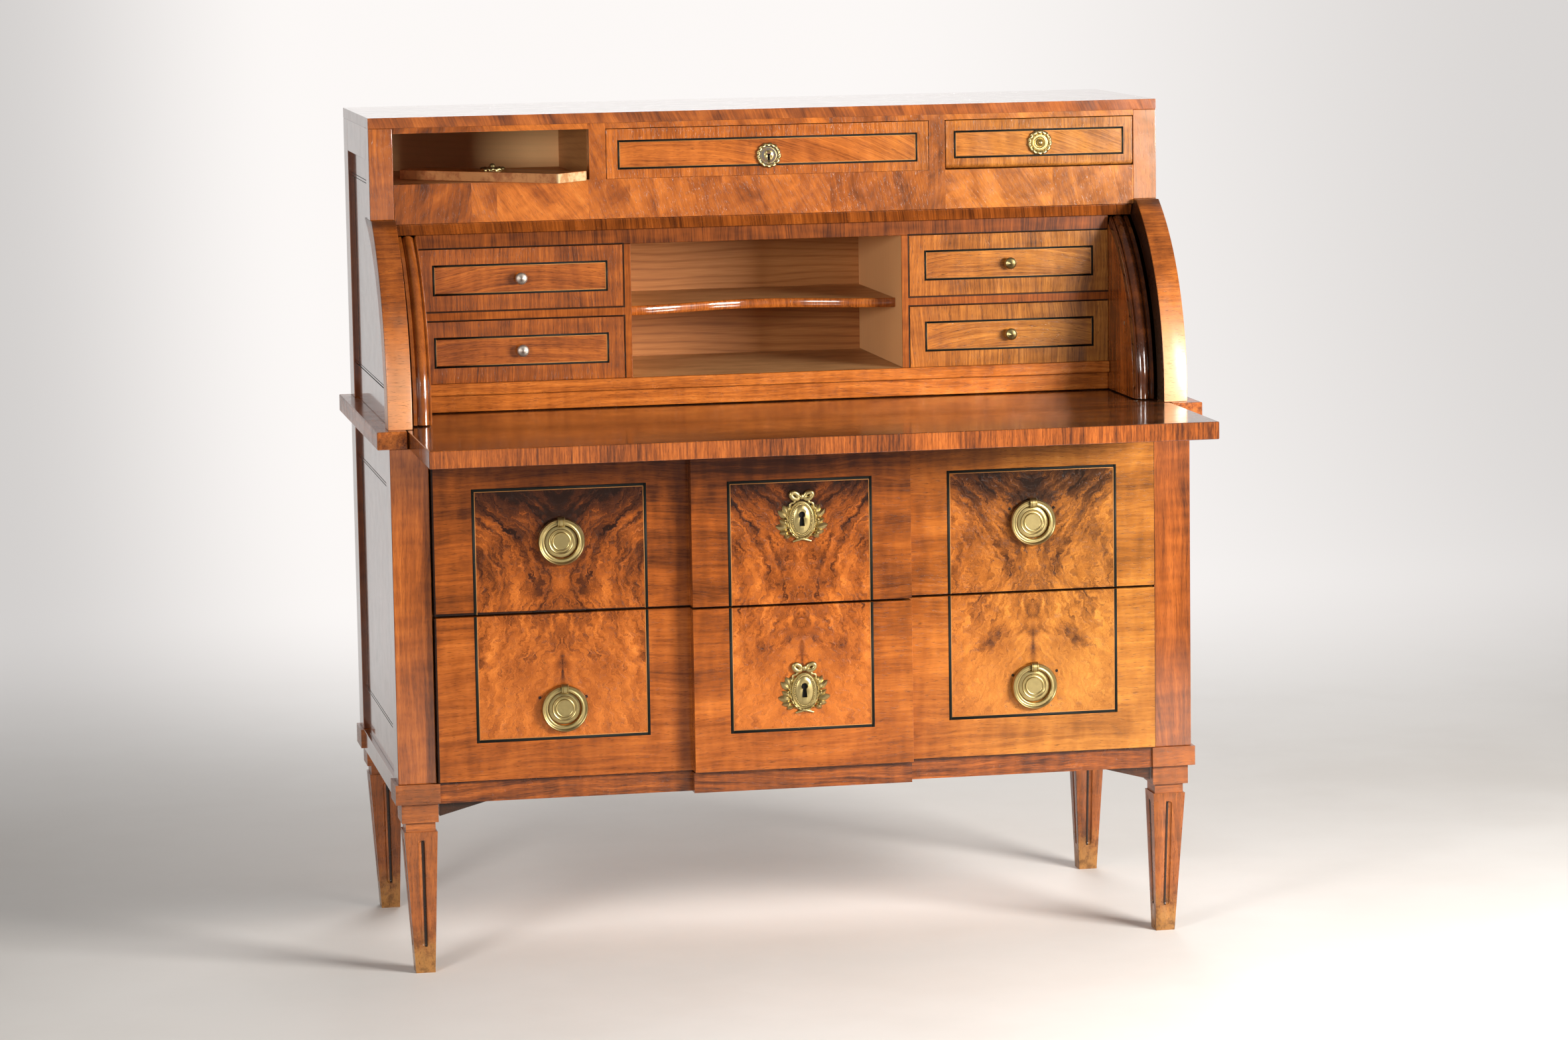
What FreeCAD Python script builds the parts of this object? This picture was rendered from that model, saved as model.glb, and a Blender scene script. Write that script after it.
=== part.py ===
import FreeCAD, Part
import math
import os

from FreeCAD import Vector

# Cylinder desk in millimetres: +X right, the front faces -Y, +Z up.
# Sizes are measured from the case: x from its middle, y from the front of its posts, z from the floor.

# Lower case
case_width = 1150.0
case_bottom = 275.0
desk_height = 774.0
ledge_thickness = 25.0
ledge_side_overhang = 17.5
ledge_front_overhang = 6.0
rear_ledge_width = 40.0
post_size = 54.0
rail_thickness = 25.0
rail_height = 63.0
panel_recess = 6.0
panel_thickness = 8.0
back_thickness = 12.0
board_thickness = 12.0
bottom_thickness = 10.0
base_rail_height = 29.0
base_rail_depth = 25.0
base_rail_break = 20.0
bracket_length = 75.0
bracket_drop = 20.0
bracket_setback = 12.0

# Legs
block_proud = 4.5
block_height = 28.0
second_block_inset = 4.0
second_block_width = 52.0
second_block_height = 28.0
neck_inset = 10.0
neck_width = 42.0
neck_height = 14.0
leg_top_inset = 7.5
leg_top_width = 47.0
foot_inset = 20.5
foot_width = 27.5
flute_radius = 5.0
flute_depth = 3.5
flute_top_margin = 17.0
flute_foot_margin = 42.0

# Cylinder shutter and its arms; its open edge, its spans, margin and stop gap are angles in degrees
arm_setback = 11.0
arm_width = 34.5
arm_cover = 16.0
arm_depth = 38.0
arm_top_angle = 121.7
shutter_radius = 299.0
shutter_thickness = 18.0
shutter_open_edge = 119.5
shutter_span = 66.0
shutter_rail_span = 5.0
shutter_clearance = 3.0
shutter_end_gap = 1.0
shutter_back_gap = 4.0
shutter_stop_gap = 0.2
stop_width = 30.0
stop_height = 26.0
axis_rise = 13.0
hub_gap = 1.5
quadrant_thickness = 4.0
quadrant_width = 24.0
quadrant_rim = 12.0
quadrant_margin = 8.0
pin_radius = 5.0
pin_clearance = 0.05
pin_flange = 3.0
guide_depth = 17.5
guide_gap = 1.5
guide_side_gap = 1.5
guide_width = 25.5

# Writing slide
slide_pull = 242.0
slide_length = 480.0
slide_under_arm = 8.0
slide_side_gap = 1.5
slide_edging = 12.0
run_gap = 0.3

# Nest of small drawers
nest_corner_angle = 117.3
nest_clearance = 5.0
nest_lift = 1.2
nest_depth = 240.0
nest_back_thickness = 8.0
nest_top_rail = 21.0
nest_rail_depth = 20.0
nest_middle_rail = 14.5
nest_board = 11.0
plinth_height = 43.0
plinth_moulding = 17.0
plinth_proud = 6.0
plinth_recess = 3.0
pigeonhole_width = 398.0
shelf_thickness = 9.0
shelf_setback = 50.0
shelf_wave = 56.0
shelf_steps = 6
small_front = 12.0
small_board = 7.0
small_gap = 0.8
small_knob_radius = 8.0
small_knob_stem = 3.5
small_knob_reach = 14.0
small_knob_sink = 5.6

# Frieze
frieze_angle = 120.0
frieze_depth = 25.0
frieze_floor_gap = 7.0
frieze_floor = 12.0
frieze_opening = 72.0
frieze_top_rail = 8.0
top_thickness = 15.0
upper_stile_depth = 40.0
upper_rail_height = 46.0
low_rail_height = 50.0
frieze_drawer_width = 472.0
muntin_width = 24.0
divider_thickness = 16.0
flap_thickness = 14.0
flap_gap = 1.0
flap_pin_radius = 2.5
flap_pin_length = 8.0
loose_flap_turn = 43.0
loose_flap_shift = 7.0
loose_flap_set = 45.0
rosette_radius = 17.0
rosette_thickness = 3.0
rosette_knob = 7.0

# Large drawers
split_height = 511.5
front_gap = 3.0
front_margin = 2.0
front_proud = 10.0
centre_proud = 23.0
front_thickness = 22.0
front_side_gap = 1.5
centre_bay_width = 315.0
middle_rail_height = 14.0
middle_rail_depth = 48.0
box_board = 12.0
box_bottom = 8.0
box_side_gap = 4.0
box_top_gap = 4.0
box_back_gap = 30.0
runner_grip = 18.0
guide_strip = 12.0
fit_gap = 0.5

# Handles and locks
ring_drop = 18.0
ring_radius = 28.0
ring_wire = 4.4
ring_stand = 6.0
plate_gap = 0.9
plate_thickness = 4.0
boss_radius = 12.0
boss_height = 3.0
lug_width = 10.0
lug_eye_gap = 0.8
lug_wall = 2.6
escutcheon_width = 58.0
escutcheon_height = 62.0
escutcheon_thickness = 3.0
keyhole_radius = 2.4
keyhole_slot = 11.0
upper_key_rise = 2.5
lower_key_drop = 5.5
frieze_key_drop = 8.0
lock_width = 60.0
lock_height = 50.0
lock_depth = 14.0
bolt_width = 16.0
bolt_thickness = 5.0
bolt_travel = 8.0
bolt_gap = 0.3
bolt_tip_gap = 1.0
frieze_lock_height = 34.0
frieze_lock_depth = 9.0
frieze_bolt_travel = 5.0

# Places that follow from the sizes
half = case_width / 2
opening_half = half - post_size
ledge_bottom = desk_height - ledge_thickness
arm_radius = shutter_radius + arm_cover
axis_y = arm_setback + arm_radius
axis_z = desk_height + axis_rise
shutter_rear_angle = shutter_open_edge - shutter_span
case_back = (axis_y + shutter_radius * math.cos(math.radians(shutter_rear_angle))
             + shutter_back_gap + back_thickness)
back_inside = case_back - back_thickness
inner_half = half - arm_width
shutter_inner = shutter_radius - shutter_thickness
guide_radius = shutter_inner - guide_gap
clear_radius = shutter_radius + shutter_clearance
front_y = axis_y + clear_radius * math.cos(math.radians(frieze_angle))
arm_top = axis_z + arm_radius * math.sin(math.radians(arm_top_angle))
floor_bottom = axis_z + shutter_radius + frieze_floor_gap
floor_top = floor_bottom + frieze_floor
frieze_top = floor_top + frieze_opening
top_bottom = frieze_top + frieze_top_rail
total_height = top_bottom + top_thickness
shutter_half = inner_half - shutter_end_gap
quadrant_inner = shutter_half - quadrant_thickness
guide_outer = quadrant_inner - guide_side_gap
lining_inner = guide_outer - guide_width
slide_half = inner_half + slide_under_arm
slide_front = -ledge_front_overhang - slide_pull
slide_back = slide_front + slide_length
ledge_inner = slide_half + slide_side_gap
nest_radius = guide_radius - nest_clearance
nest_front = axis_y + nest_radius * math.cos(math.radians(nest_corner_angle))
nest_top = axis_z + nest_radius * math.sin(math.radians(nest_corner_angle))
nest_back = nest_front + nest_depth
nest_bottom = desk_height + nest_lift
nest_floor = desk_height + plinth_height
nest_ceiling = nest_top - nest_top_rail
small_height = (nest_ceiling - nest_floor - nest_middle_rail) / 2
nest_middle = nest_floor + small_height
divider_inner = pigeonhole_width / 2
divider_outer = divider_inner + nest_board
middle_rail_bottom = split_height - middle_rail_height / 2
middle_rail_top = split_height + middle_rail_height / 2
front_back = front_thickness - front_proud
carcase_front = front_back + fit_gap
bed_top = ledge_bottom - run_gap
bed_bottom = bed_top - board_thickness
box_half = opening_half - box_side_gap
ring_x = (centre_bay_width / 2 + opening_half) / 2
muntin_inner = frieze_drawer_width / 2
muntin_outer = muntin_inner + muntin_width

# The origin lies on the floor under the middle of the desk with its slide pulled out.
to_origin = Vector(0, -(case_back + slide_front) / 2, 0)


def box(x0, x1, y0, y1, z0, z1):
    return Part.makeBox(x1 - x0, y1 - y0, z1 - z0, Vector(x0, y0, z0))


def rod(radius, length, start, direction):
    return Part.makeCylinder(radius, length, start, direction)


def across(profile, x0, x1):
    """Extrude a closed outline, given as (y, z) corners, from x0 to x1."""
    corners = [Vector(x0, y, z) for y, z in profile]
    wire = Part.makePolygon(corners + corners[:1])
    return Part.Face(wire).extrude(Vector(x1 - x0, 0, 0))


def polar(radius, angle):
    """The (y, z) place on a circle about the cylinder's axis; 180 degrees is straight to the front."""
    turn = math.radians(angle)
    return axis_y + radius * math.cos(turn), axis_z + radius * math.sin(turn)


def disc(radius, x0, x1):
    return rod(radius, x1 - x0, Vector(x0, axis_y, axis_z), Vector(1, 0, 0))


def arc_piece(inner, outer, start, end, x0, x1):
    """A stretch of tube about the cylinder's axis, between two angles."""
    def corner(radius, angle):
        y, z = polar(radius, angle)
        return Vector(x0, y, z)

    middle = (start + end) / 2
    edges = [
        Part.Arc(corner(outer, start), corner(outer, middle), corner(outer, end)).toShape(),
        Part.LineSegment(corner(outer, end), corner(inner, end)).toShape(),
        Part.Arc(corner(inner, end), corner(inner, middle), corner(inner, start)).toShape(),
        Part.LineSegment(corner(inner, start), corner(outer, start)).toShape(),
    ]
    return Part.Face(Part.Wire(edges)).extrude(Vector(x1 - x0, 0, 0))


def mirrored(shape):
    return shape.mirror(Vector(0, 0, 0), Vector(1, 0, 0))


def both_sides(shape):
    return [shape, mirrored(shape)]


def export(name, pieces):
    solids = pieces if isinstance(pieces, list) else [pieces]
    placed = []
    for solid in solids:
        copy = solid.copy()
        copy.translate(to_origin)
        if not copy.isValid() or copy.Volume <= 0:
            print("not valid:", name)
        placed.append(copy)
    shape = placed[0] if len(placed) == 1 else Part.makeCompound(placed)
    shape.exportStep("parts/" + name + ".step")


def square_tier(inset, width, z0, z1):
    """One tier of a front right leg, inset from the outer corner of the case."""
    return box(half - inset - width, half - inset, inset, inset + width, z0, z1)


def flute(start, end, outward):
    """A round groove with round ends along a leg's face."""
    lift = outward * (flute_radius - flute_depth)
    first = start + lift
    last = end + lift
    run = last - first
    groove = rod(flute_radius, run.Length, first, run)
    for place in (first, last):
        groove = groove.fuse(Part.makeSphere(flute_radius, place))
    return groove


def leg_blank():
    """The front right leg: two blocks, a neck and a tapered square foot, cut from one piece."""
    block_top = case_bottom
    second_top = block_top - block_height
    neck_top = second_top - second_block_height
    taper_top = neck_top - neck_height
    top_square = [(half - leg_top_inset - leg_top_width, leg_top_inset),
                  (half - leg_top_inset, leg_top_inset + leg_top_width)]
    foot_square = [(half - foot_inset - foot_width, foot_inset),
                   (half - foot_inset, foot_inset + foot_width)]

    def outline(square, z):
        (x0, y0), (x1, y1) = square
        corners = [Vector(x0, y0, z), Vector(x1, y0, z), Vector(x1, y1, z), Vector(x0, y1, z)]
        return Part.makePolygon(corners + corners[:1])

    leg = Part.makeLoft([outline(foot_square, 0), outline(top_square, taper_top)], True, True)
    leg = leg.fuse(square_tier(neck_inset, neck_width, taper_top, neck_top))
    leg = leg.fuse(square_tier(second_block_inset, second_block_width, neck_top, second_top))
    leg = leg.fuse(square_tier(-block_proud, post_size + 2 * block_proud, second_top, block_top))

    def on_face(z, side_x, side_y):
        share = z / taper_top
        inset = foot_inset + (leg_top_inset - foot_inset) * share
        width = foot_width + (leg_top_width - foot_width) * share
        centre = inset + width / 2
        return Vector(half - centre + side_x * width / 2, centre + side_y * width / 2, z)

    for side_x, side_y in ((1, 0), (-1, 0), (0, 1), (0, -1)):
        start = on_face(flute_foot_margin, side_x, side_y)
        end = on_face(taper_top - flute_top_margin, side_x, side_y)
        leg = leg.cut(flute(start, end, Vector(side_x, side_y, 0)))
    return leg.removeSplitter()


def make_legs():
    front = leg_blank()
    rear = front.mirror(Vector(0, case_back / 2, 0), Vector(0, 1, 0))
    export("leg_front_right", front)
    export("leg_front_left", mirrored(front))
    export("leg_rear_right", rear)
    export("leg_rear_left", mirrored(rear))


def mortise(bolt_place, rail_bottom, travel):
    """The hole in the underside of a rail that a lock bolt rises into."""
    return box(-bolt_width / 2 - fit_gap, bolt_width / 2 + fit_gap, bolt_place - fit_gap,
               bolt_place + bolt_thickness + fit_gap, rail_bottom, rail_bottom + travel)


def make_lower_case():
    rear_post = case_back - post_size
    rail_inner = half - rail_thickness
    rail_outer = half - panel_recess
    side = [
        box(opening_half, half, 0, post_size, case_bottom, ledge_bottom),
        box(opening_half, half, rear_post, case_back, case_bottom, ledge_bottom),
        box(rail_inner, rail_outer, post_size, rear_post, ledge_bottom - rail_height, ledge_bottom),
        box(rail_inner, rail_outer, post_size, rear_post, case_bottom, case_bottom + rail_height),
    ]
    export("lower_side_right", side)
    export("lower_side_left", [mirrored(piece) for piece in side])

    export("bottom_board", box(-opening_half, opening_half, carcase_front, back_inside,
                               case_bottom, case_bottom + bottom_thickness))

    bed = box(-opening_half, opening_half, carcase_front, back_inside, bed_bottom, bed_top)
    export("slide_bed", bed.cut(mortise(bolt_y, bed_bottom, bolt_travel)))
    rail = box(-opening_half, opening_half, carcase_front, carcase_front + middle_rail_depth,
               middle_rail_bottom, middle_rail_top)
    export("middle_rail", rail.cut(mortise(bolt_y, middle_rail_bottom, bolt_travel)))

    runner_front = carcase_front + middle_rail_depth
    runner = box(box_half - runner_grip, rail_inner, runner_front, rear_post,
                 middle_rail_bottom, middle_rail_top)
    strip_bottom = case_bottom + bottom_thickness
    strip = box(box_half + fit_gap, opening_half, post_size, rear_post,
                strip_bottom, strip_bottom + guide_strip)
    export("drawer_runners", both_sides(runner) + both_sides(strip))

    block_inner = opening_half - block_proud
    base_bottom = case_bottom - base_rail_height
    base = box(-block_inner, block_inner, 0, base_rail_depth, base_bottom, case_bottom)
    base = base.fuse(box(-centre_bay_width / 2, centre_bay_width / 2, -base_rail_break, base_rail_depth,
                         base_bottom, case_bottom)).removeSplitter()
    bracket_wire = Part.makePolygon([
        Vector(block_inner, bracket_setback, base_bottom),
        Vector(block_inner, bracket_setback, base_bottom - bracket_drop),
        Vector(block_inner - bracket_length, bracket_setback, base_bottom),
        Vector(block_inner, bracket_setback, base_bottom)])
    bracket = Part.Face(bracket_wire).extrude(Vector(0, base_rail_depth - bracket_setback, 0))
    export("base_rail", [base] + both_sides(bracket))
    side_base = box(rail_inner, half, post_size + block_proud, rear_post - block_proud, base_bottom, case_bottom)
    export("side_base_rails", both_sides(side_base))


def make_ledges():
    ledge_outer = half + ledge_side_overhang
    side = box(ledge_inner, ledge_outer, -ledge_front_overhang, case_back, ledge_bottom, desk_height)
    rear = box(-ledge_inner, ledge_inner, case_back - rear_ledge_width, case_back,
               ledge_bottom, desk_height)
    export("desk_ledges", both_sides(side) + [rear])


def make_upper_case():
    rear_stile = case_back - post_size
    rail_inner = half - rail_thickness
    stile_back = front_y + upper_stile_depth
    arm_inner = arm_radius - arm_depth
    ring = disc(arm_radius, inner_half, half).cut(disc(arm_inner, inner_half, half))
    arm = ring.common(box(inner_half, half, axis_y - arm_radius, axis_y, desk_height, arm_top))
    export("cylinder_arms", both_sides(arm))

    top_rail_bottom = top_bottom - upper_rail_height
    bottom_rail_top = desk_height + low_rail_height
    panel_outer = half - panel_recess
    inside_arm = disc(arm_inner, rail_inner, half)
    low_rail = box(rail_inner, panel_outer, axis_y - arm_radius, rear_stile, desk_height, bottom_rail_top)
    front_half = box(rail_inner, half, axis_y - arm_radius, axis_y, desk_height, arm_top)
    low_rail = low_rail.cut(front_half).fuse(low_rail.common(front_half).common(inside_arm))
    side = [
        box(inner_half, half, front_y, stile_back, arm_top, top_bottom),
        box(inner_half, half, rear_stile, case_back, desk_height, top_bottom),
        box(rail_inner, half, stile_back, rear_stile, top_rail_bottom, top_bottom),
        low_rail.removeSplitter(),
    ]
    export("upper_side_right", side)
    export("upper_side_left", [mirrored(piece) for piece in side])

    panel_inner = panel_outer - panel_thickness
    lower_panel = box(panel_inner, panel_outer, post_size, case_back - post_size,
                      case_bottom + rail_height, ledge_bottom - rail_height)
    low_part = box(panel_inner, panel_outer, axis_y - arm_radius, axis_y, bottom_rail_top, arm_top)
    low_part = low_part.common(disc(arm_inner, panel_inner, panel_outer))
    high_part = box(panel_inner, panel_outer, stile_back, rear_stile, arm_top, top_rail_bottom)
    rear_part = box(panel_inner, panel_outer, axis_y, rear_stile, bottom_rail_top, arm_top)
    upper_panel = low_part.fuse([high_part, rear_part]).removeSplitter()
    export("side_panels", both_sides(lower_panel) + both_sides(upper_panel))

    lower_back = box(-opening_half, opening_half, back_inside, case_back, case_bottom, ledge_bottom)
    upper_back = box(-inner_half, inner_half, back_inside, case_back, desk_height, top_bottom)
    export("back_boards", [lower_back, upper_back])
    export("top_board", box(-half, half, front_y, case_back, top_bottom, total_height))

    rail_back = front_y + frieze_depth
    bottom_rail = box(-inner_half, inner_half, front_y, rail_back, axis_z, floor_top)
    bottom_rail = bottom_rail.cut(disc(clear_radius, -inner_half, inner_half))
    top_rail = box(-inner_half, inner_half, front_y, rail_back, frieze_top, top_bottom)
    top_rail = top_rail.cut(mortise(frieze_bolt_y, frieze_top, frieze_bolt_travel))
    muntin = box(muntin_inner, muntin_outer, front_y, rail_back, floor_top, frieze_top)
    export("frieze_frame", [bottom_rail, top_rail] + both_sides(muntin))
    export("frieze_floor", box(-inner_half, inner_half, rail_back, back_inside, floor_bottom, floor_top))
    divider_in = (muntin_inner + muntin_outer - divider_thickness) / 2
    divider = box(divider_in, divider_in + divider_thickness, rail_back, back_inside, floor_top, top_bottom)
    export("frieze_dividers", both_sides(divider))


def make_cylinder():
    rail_start = shutter_open_edge - shutter_rail_span
    export("shutter_shell", arc_piece(shutter_inner, shutter_radius, shutter_rear_angle, rail_start,
                                      -shutter_half, shutter_half))
    export("shutter_rail", arc_piece(shutter_inner, shutter_radius, rail_start, shutter_open_edge,
                                     -shutter_half, shutter_half))

    middle = (shutter_open_edge + shutter_rear_angle) / 2
    hub_radius = axis_rise - hub_gap
    hub = disc(hub_radius, quadrant_inner, shutter_half)
    rim = arc_piece(shutter_inner - quadrant_rim, shutter_inner, shutter_rear_angle + quadrant_margin,
                    shutter_open_edge - quadrant_margin, quadrant_inner, shutter_half)
    spoke = box(quadrant_inner, shutter_half, -quadrant_width / 2, quadrant_width / 2,
                0, shutter_inner - quadrant_rim / 2)
    spoke = spoke.common(rod(shutter_inner, case_width, Vector(0, 0, 0), Vector(1, 0, 0)))
    spoke.rotate(Vector(0, 0, 0), Vector(1, 0, 0), middle - 90)
    spoke.translate(Vector(0, axis_y, axis_z))
    arm = hub.fuse([rim, spoke])
    arm = arm.cut(disc(pin_radius + pin_clearance, quadrant_inner, shutter_half)).removeSplitter()
    export("shutter_arms", both_sides(arm))

    rail_inner = half - rail_thickness
    pin = disc(pin_radius, quadrant_inner, rail_inner)
    pin = pin.fuse(disc(hub_radius, rail_inner - pin_flange, rail_inner)).removeSplitter()
    flap_pins = [
        rod(flap_pin_radius, flap_pin_length, Vector(start, flap_axis_y, flap_axis_z), Vector(reach, 0, 0))
        for start, reach in ((muntin_outer, 1), (inner_half, -1))
    ]
    export("pivot_pins", both_sides(pin) + flap_pins)

    face_angle = shutter_rear_angle - shutter_stop_gap
    low = polar(shutter_inner, face_angle)
    high = polar(shutter_radius, face_angle)
    stop_profile = [low, high, (back_inside, high[1]), (back_inside, high[1] - stop_height),
                    (low[0], high[1] - stop_height)]
    stop = across(stop_profile, lining_inner - stop_width, lining_inner)
    export("shutter_stops", both_sides(stop))

    ring = disc(guide_radius, lining_inner, guide_outer)
    ring = ring.cut(disc(guide_radius - guide_depth, lining_inner, guide_outer))
    guide = ring.common(box(lining_inner, guide_outer, axis_y - arm_radius, nest_front,
                            nest_bottom, nest_top))
    export("cylinder_guides", both_sides(guide))


def make_slide():
    top = desk_height - run_gap
    body = box(-slide_half, slide_half, slide_front + slide_edging, slide_back, ledge_bottom, top)
    edging = box(-slide_half, slide_half, slide_front, slide_front + slide_edging, ledge_bottom, top)
    export("writing_slide", [body, edging])


def serpentine_shelf():
    """The pigeonhole shelf, whose front edge swings back in the middle."""
    z0 = nest_middle
    back = back_inside
    edge = nest_front + shelf_setback
    points = []
    for number in range(-shelf_steps, shelf_steps + 1):
        share = number / shelf_steps
        swing = shelf_wave * (1 + math.cos(math.pi * share)) / 2
        points.append(Vector(divider_inner * share, edge + swing, z0))
    curve = Part.BSplineCurve()
    curve.interpolate(points)
    rest = Part.makePolygon([points[-1], Vector(divider_inner, back, z0),
                             Vector(-divider_inner, back, z0), points[0]])
    wire = Part.Wire([curve.toShape()] + rest.Edges)
    return Part.Face(wire).extrude(Vector(0, 0, shelf_thickness))


def make_nest():
    lining_outer = lining_inner + board_thickness
    lining = disc(guide_radius - guide_depth, lining_inner, lining_outer)
    lining = lining.common(box(lining_inner, lining_outer, axis_y - arm_radius, back_inside,
                               nest_bottom, total_height))
    export("nest_linings", both_sides(lining))

    inside_back = nest_back - nest_back_thickness
    floor_bottom_z = nest_floor - board_thickness
    pieces = [
        box(-lining_inner, lining_inner, nest_front + plinth_recess, back_inside,
            floor_bottom_z, nest_floor),
        box(-lining_inner, lining_inner, nest_front + nest_rail_depth, inside_back,
            nest_top - nest_board, nest_top),
        box(-lining_inner, lining_inner, nest_front, nest_front + nest_rail_depth, nest_ceiling, nest_top),
    ]
    drawer_back = box(divider_outer, lining_inner, inside_back, nest_back, nest_floor, nest_top)
    # The pigeonholes reach the back boards; their dividers are cut round to clear the raised shutter.
    divider = box(divider_inner, divider_outer, nest_front, back_inside, nest_floor, nest_ceiling)
    divider = divider.common(disc(nest_radius, divider_inner, divider_outer))
    divider = divider.fuse(box(divider_inner, divider_outer, nest_front + nest_rail_depth, inside_back,
                               nest_ceiling, nest_top - nest_board)).removeSplitter()
    middle = box(divider_outer, lining_inner, nest_front, inside_back,
                 nest_middle, nest_middle + nest_middle_rail)
    pieces += both_sides(drawer_back) + both_sides(divider) + both_sides(middle) + [serpentine_shelf()]
    export("nest_case", pieces)

    moulding = box(-lining_inner, lining_inner, nest_front - plinth_proud, nest_front + plinth_recess,
                   nest_floor - plinth_moulding, nest_floor)
    skirt = box(-lining_inner, lining_inner, nest_front + plinth_recess, nest_front + nest_rail_depth,
                nest_bottom, floor_bottom_z)
    export("nest_plinth", [moulding, skirt])

    left_x = (-lining_inner + small_gap, -divider_outer - small_gap)
    right_x = (divider_outer + small_gap, lining_inner - small_gap)
    low_z = nest_floor
    high_z = nest_middle + nest_middle_rail
    for side, (x0, x1) in (("left", left_x), ("right", right_x)):
        for level, z0 in (("upper", high_z), ("lower", low_z)):
            name = "small_drawer_" + level + "_" + side
            export(name, small_drawer(x0, x1, z0))
            knob_place = Vector((x0 + x1) / 2, nest_front, z0 + small_height / 2)
            export(name + "_knob", small_knob(knob_place))


def small_drawer(x0, x1, opening_z):
    z0 = opening_z + run_gap
    z1 = opening_z + small_height - small_gap
    front_end = nest_front + small_front
    back = nest_back - nest_back_thickness - small_gap
    wall_top = z1 - box_top_gap
    front = box(x0, x1, nest_front, front_end, z0, z1)
    sides = [box(x0, x0 + small_board, front_end, back, z0, wall_top),
             box(x1 - small_board, x1, front_end, back, z0, wall_top)]
    rear = box(x0 + small_board, x1 - small_board, back - small_board, back, z0, wall_top)
    bottom = box(x0 + small_board, x1 - small_board, front_end, back - small_board, z0, z0 + small_board)
    return [front] + sides + [rear, bottom]


def small_knob(place):
    """A turned knob: a stem and a flattened ball, pointing to the front."""
    stem = rod(small_knob_stem, small_knob_reach, place, Vector(0, -1, 0))
    ball = Part.makeSphere(small_knob_radius, place + Vector(0, small_knob_sink - small_knob_reach, 0))
    knob = stem.fuse(ball)
    front_half = box(place.x - post_size, place.x + post_size, place.y - post_size, place.y,
                     place.z - post_size, place.z + post_size)
    return knob.common(front_half).removeSplitter()


def keyhole(x, z, y0, y1):
    hole = rod(keyhole_radius, y1 - y0, Vector(x, y0, z), Vector(0, 1, 0))
    slot = box(x - keyhole_radius / 2, x + keyhole_radius / 2, y0, y1, z - keyhole_slot, z)
    return hole.fuse(slot)


def ring_plate(x, z):
    """The turned plate behind a ring, with the lug that the ring hangs in."""
    face = -front_proud
    radius = ring_radius - ring_wire - plate_gap
    plate = rod(radius, plate_thickness, Vector(x, face, z), Vector(0, -1, 0))
    boss = rod(boss_radius, plate_thickness + boss_height, Vector(x, face, z), Vector(0, -1, 0))
    eye = ring_wire + lug_eye_gap
    axis = Vector(x, face - ring_stand, z + ring_radius)
    knuckle = rod(eye + lug_wall, lug_width, axis - Vector(lug_width / 2, 0, 0), Vector(1, 0, 0))
    foot = box(x - lug_width / 2, x + lug_width / 2, axis.y, face, axis.z - eye, axis.z + eye + lug_wall)
    hole = rod(eye, lug_width, axis - Vector(lug_width / 2, 0, 0), Vector(1, 0, 0))
    front_only = box(x - post_size, x + post_size, face - post_size, face, z - post_size, z + 2 * post_size)
    lug = knuckle.fuse(foot).cut(hole).common(front_only)
    return plate.fuse(boss), lug


def ring_handle(x, z):
    place = Vector(x, -front_proud - ring_stand, z)
    return Part.makeTorus(ring_radius, ring_wire, place, Vector(0, 1, 0))


def escutcheon(z):
    """The key plate in the middle of a drawer: an oval with a bow on top."""
    face = -front_proud - centre_proud
    oval = Part.Ellipse(Vector(0, 0, 0), escutcheon_height / 2, escutcheon_width / 2)
    plate = Part.Face(Part.Wire([oval.toShape()])).extrude(Vector(0, 0, escutcheon_thickness))
    plate.rotate(Vector(0, 0, 0), Vector(0, 0, 1), 90)
    plate.rotate(Vector(0, 0, 0), Vector(1, 0, 0), 90)
    plate.translate(Vector(0, face, z))
    return plate.cut(keyhole(0, z, face - post_size, face + post_size))


def lock(z, back_of_front, height, depth, tip, bolt_place):
    """A lock case behind a front, and the bolt that rises out of it; tip is the bolt's top at rest."""
    case = box(-lock_width / 2, lock_width / 2, back_of_front, back_of_front + depth,
               z - height / 2, z + height / 2)
    channel = box(-bolt_width / 2 - bolt_gap, bolt_width / 2 + bolt_gap, bolt_place - bolt_gap,
                  bolt_place + bolt_thickness + bolt_gap, z - bolt_gap, z + height)
    bolt = box(-bolt_width / 2, bolt_width / 2, bolt_place, bolt_place + bolt_thickness, z, tip)
    return case.cut(channel), bolt


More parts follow.
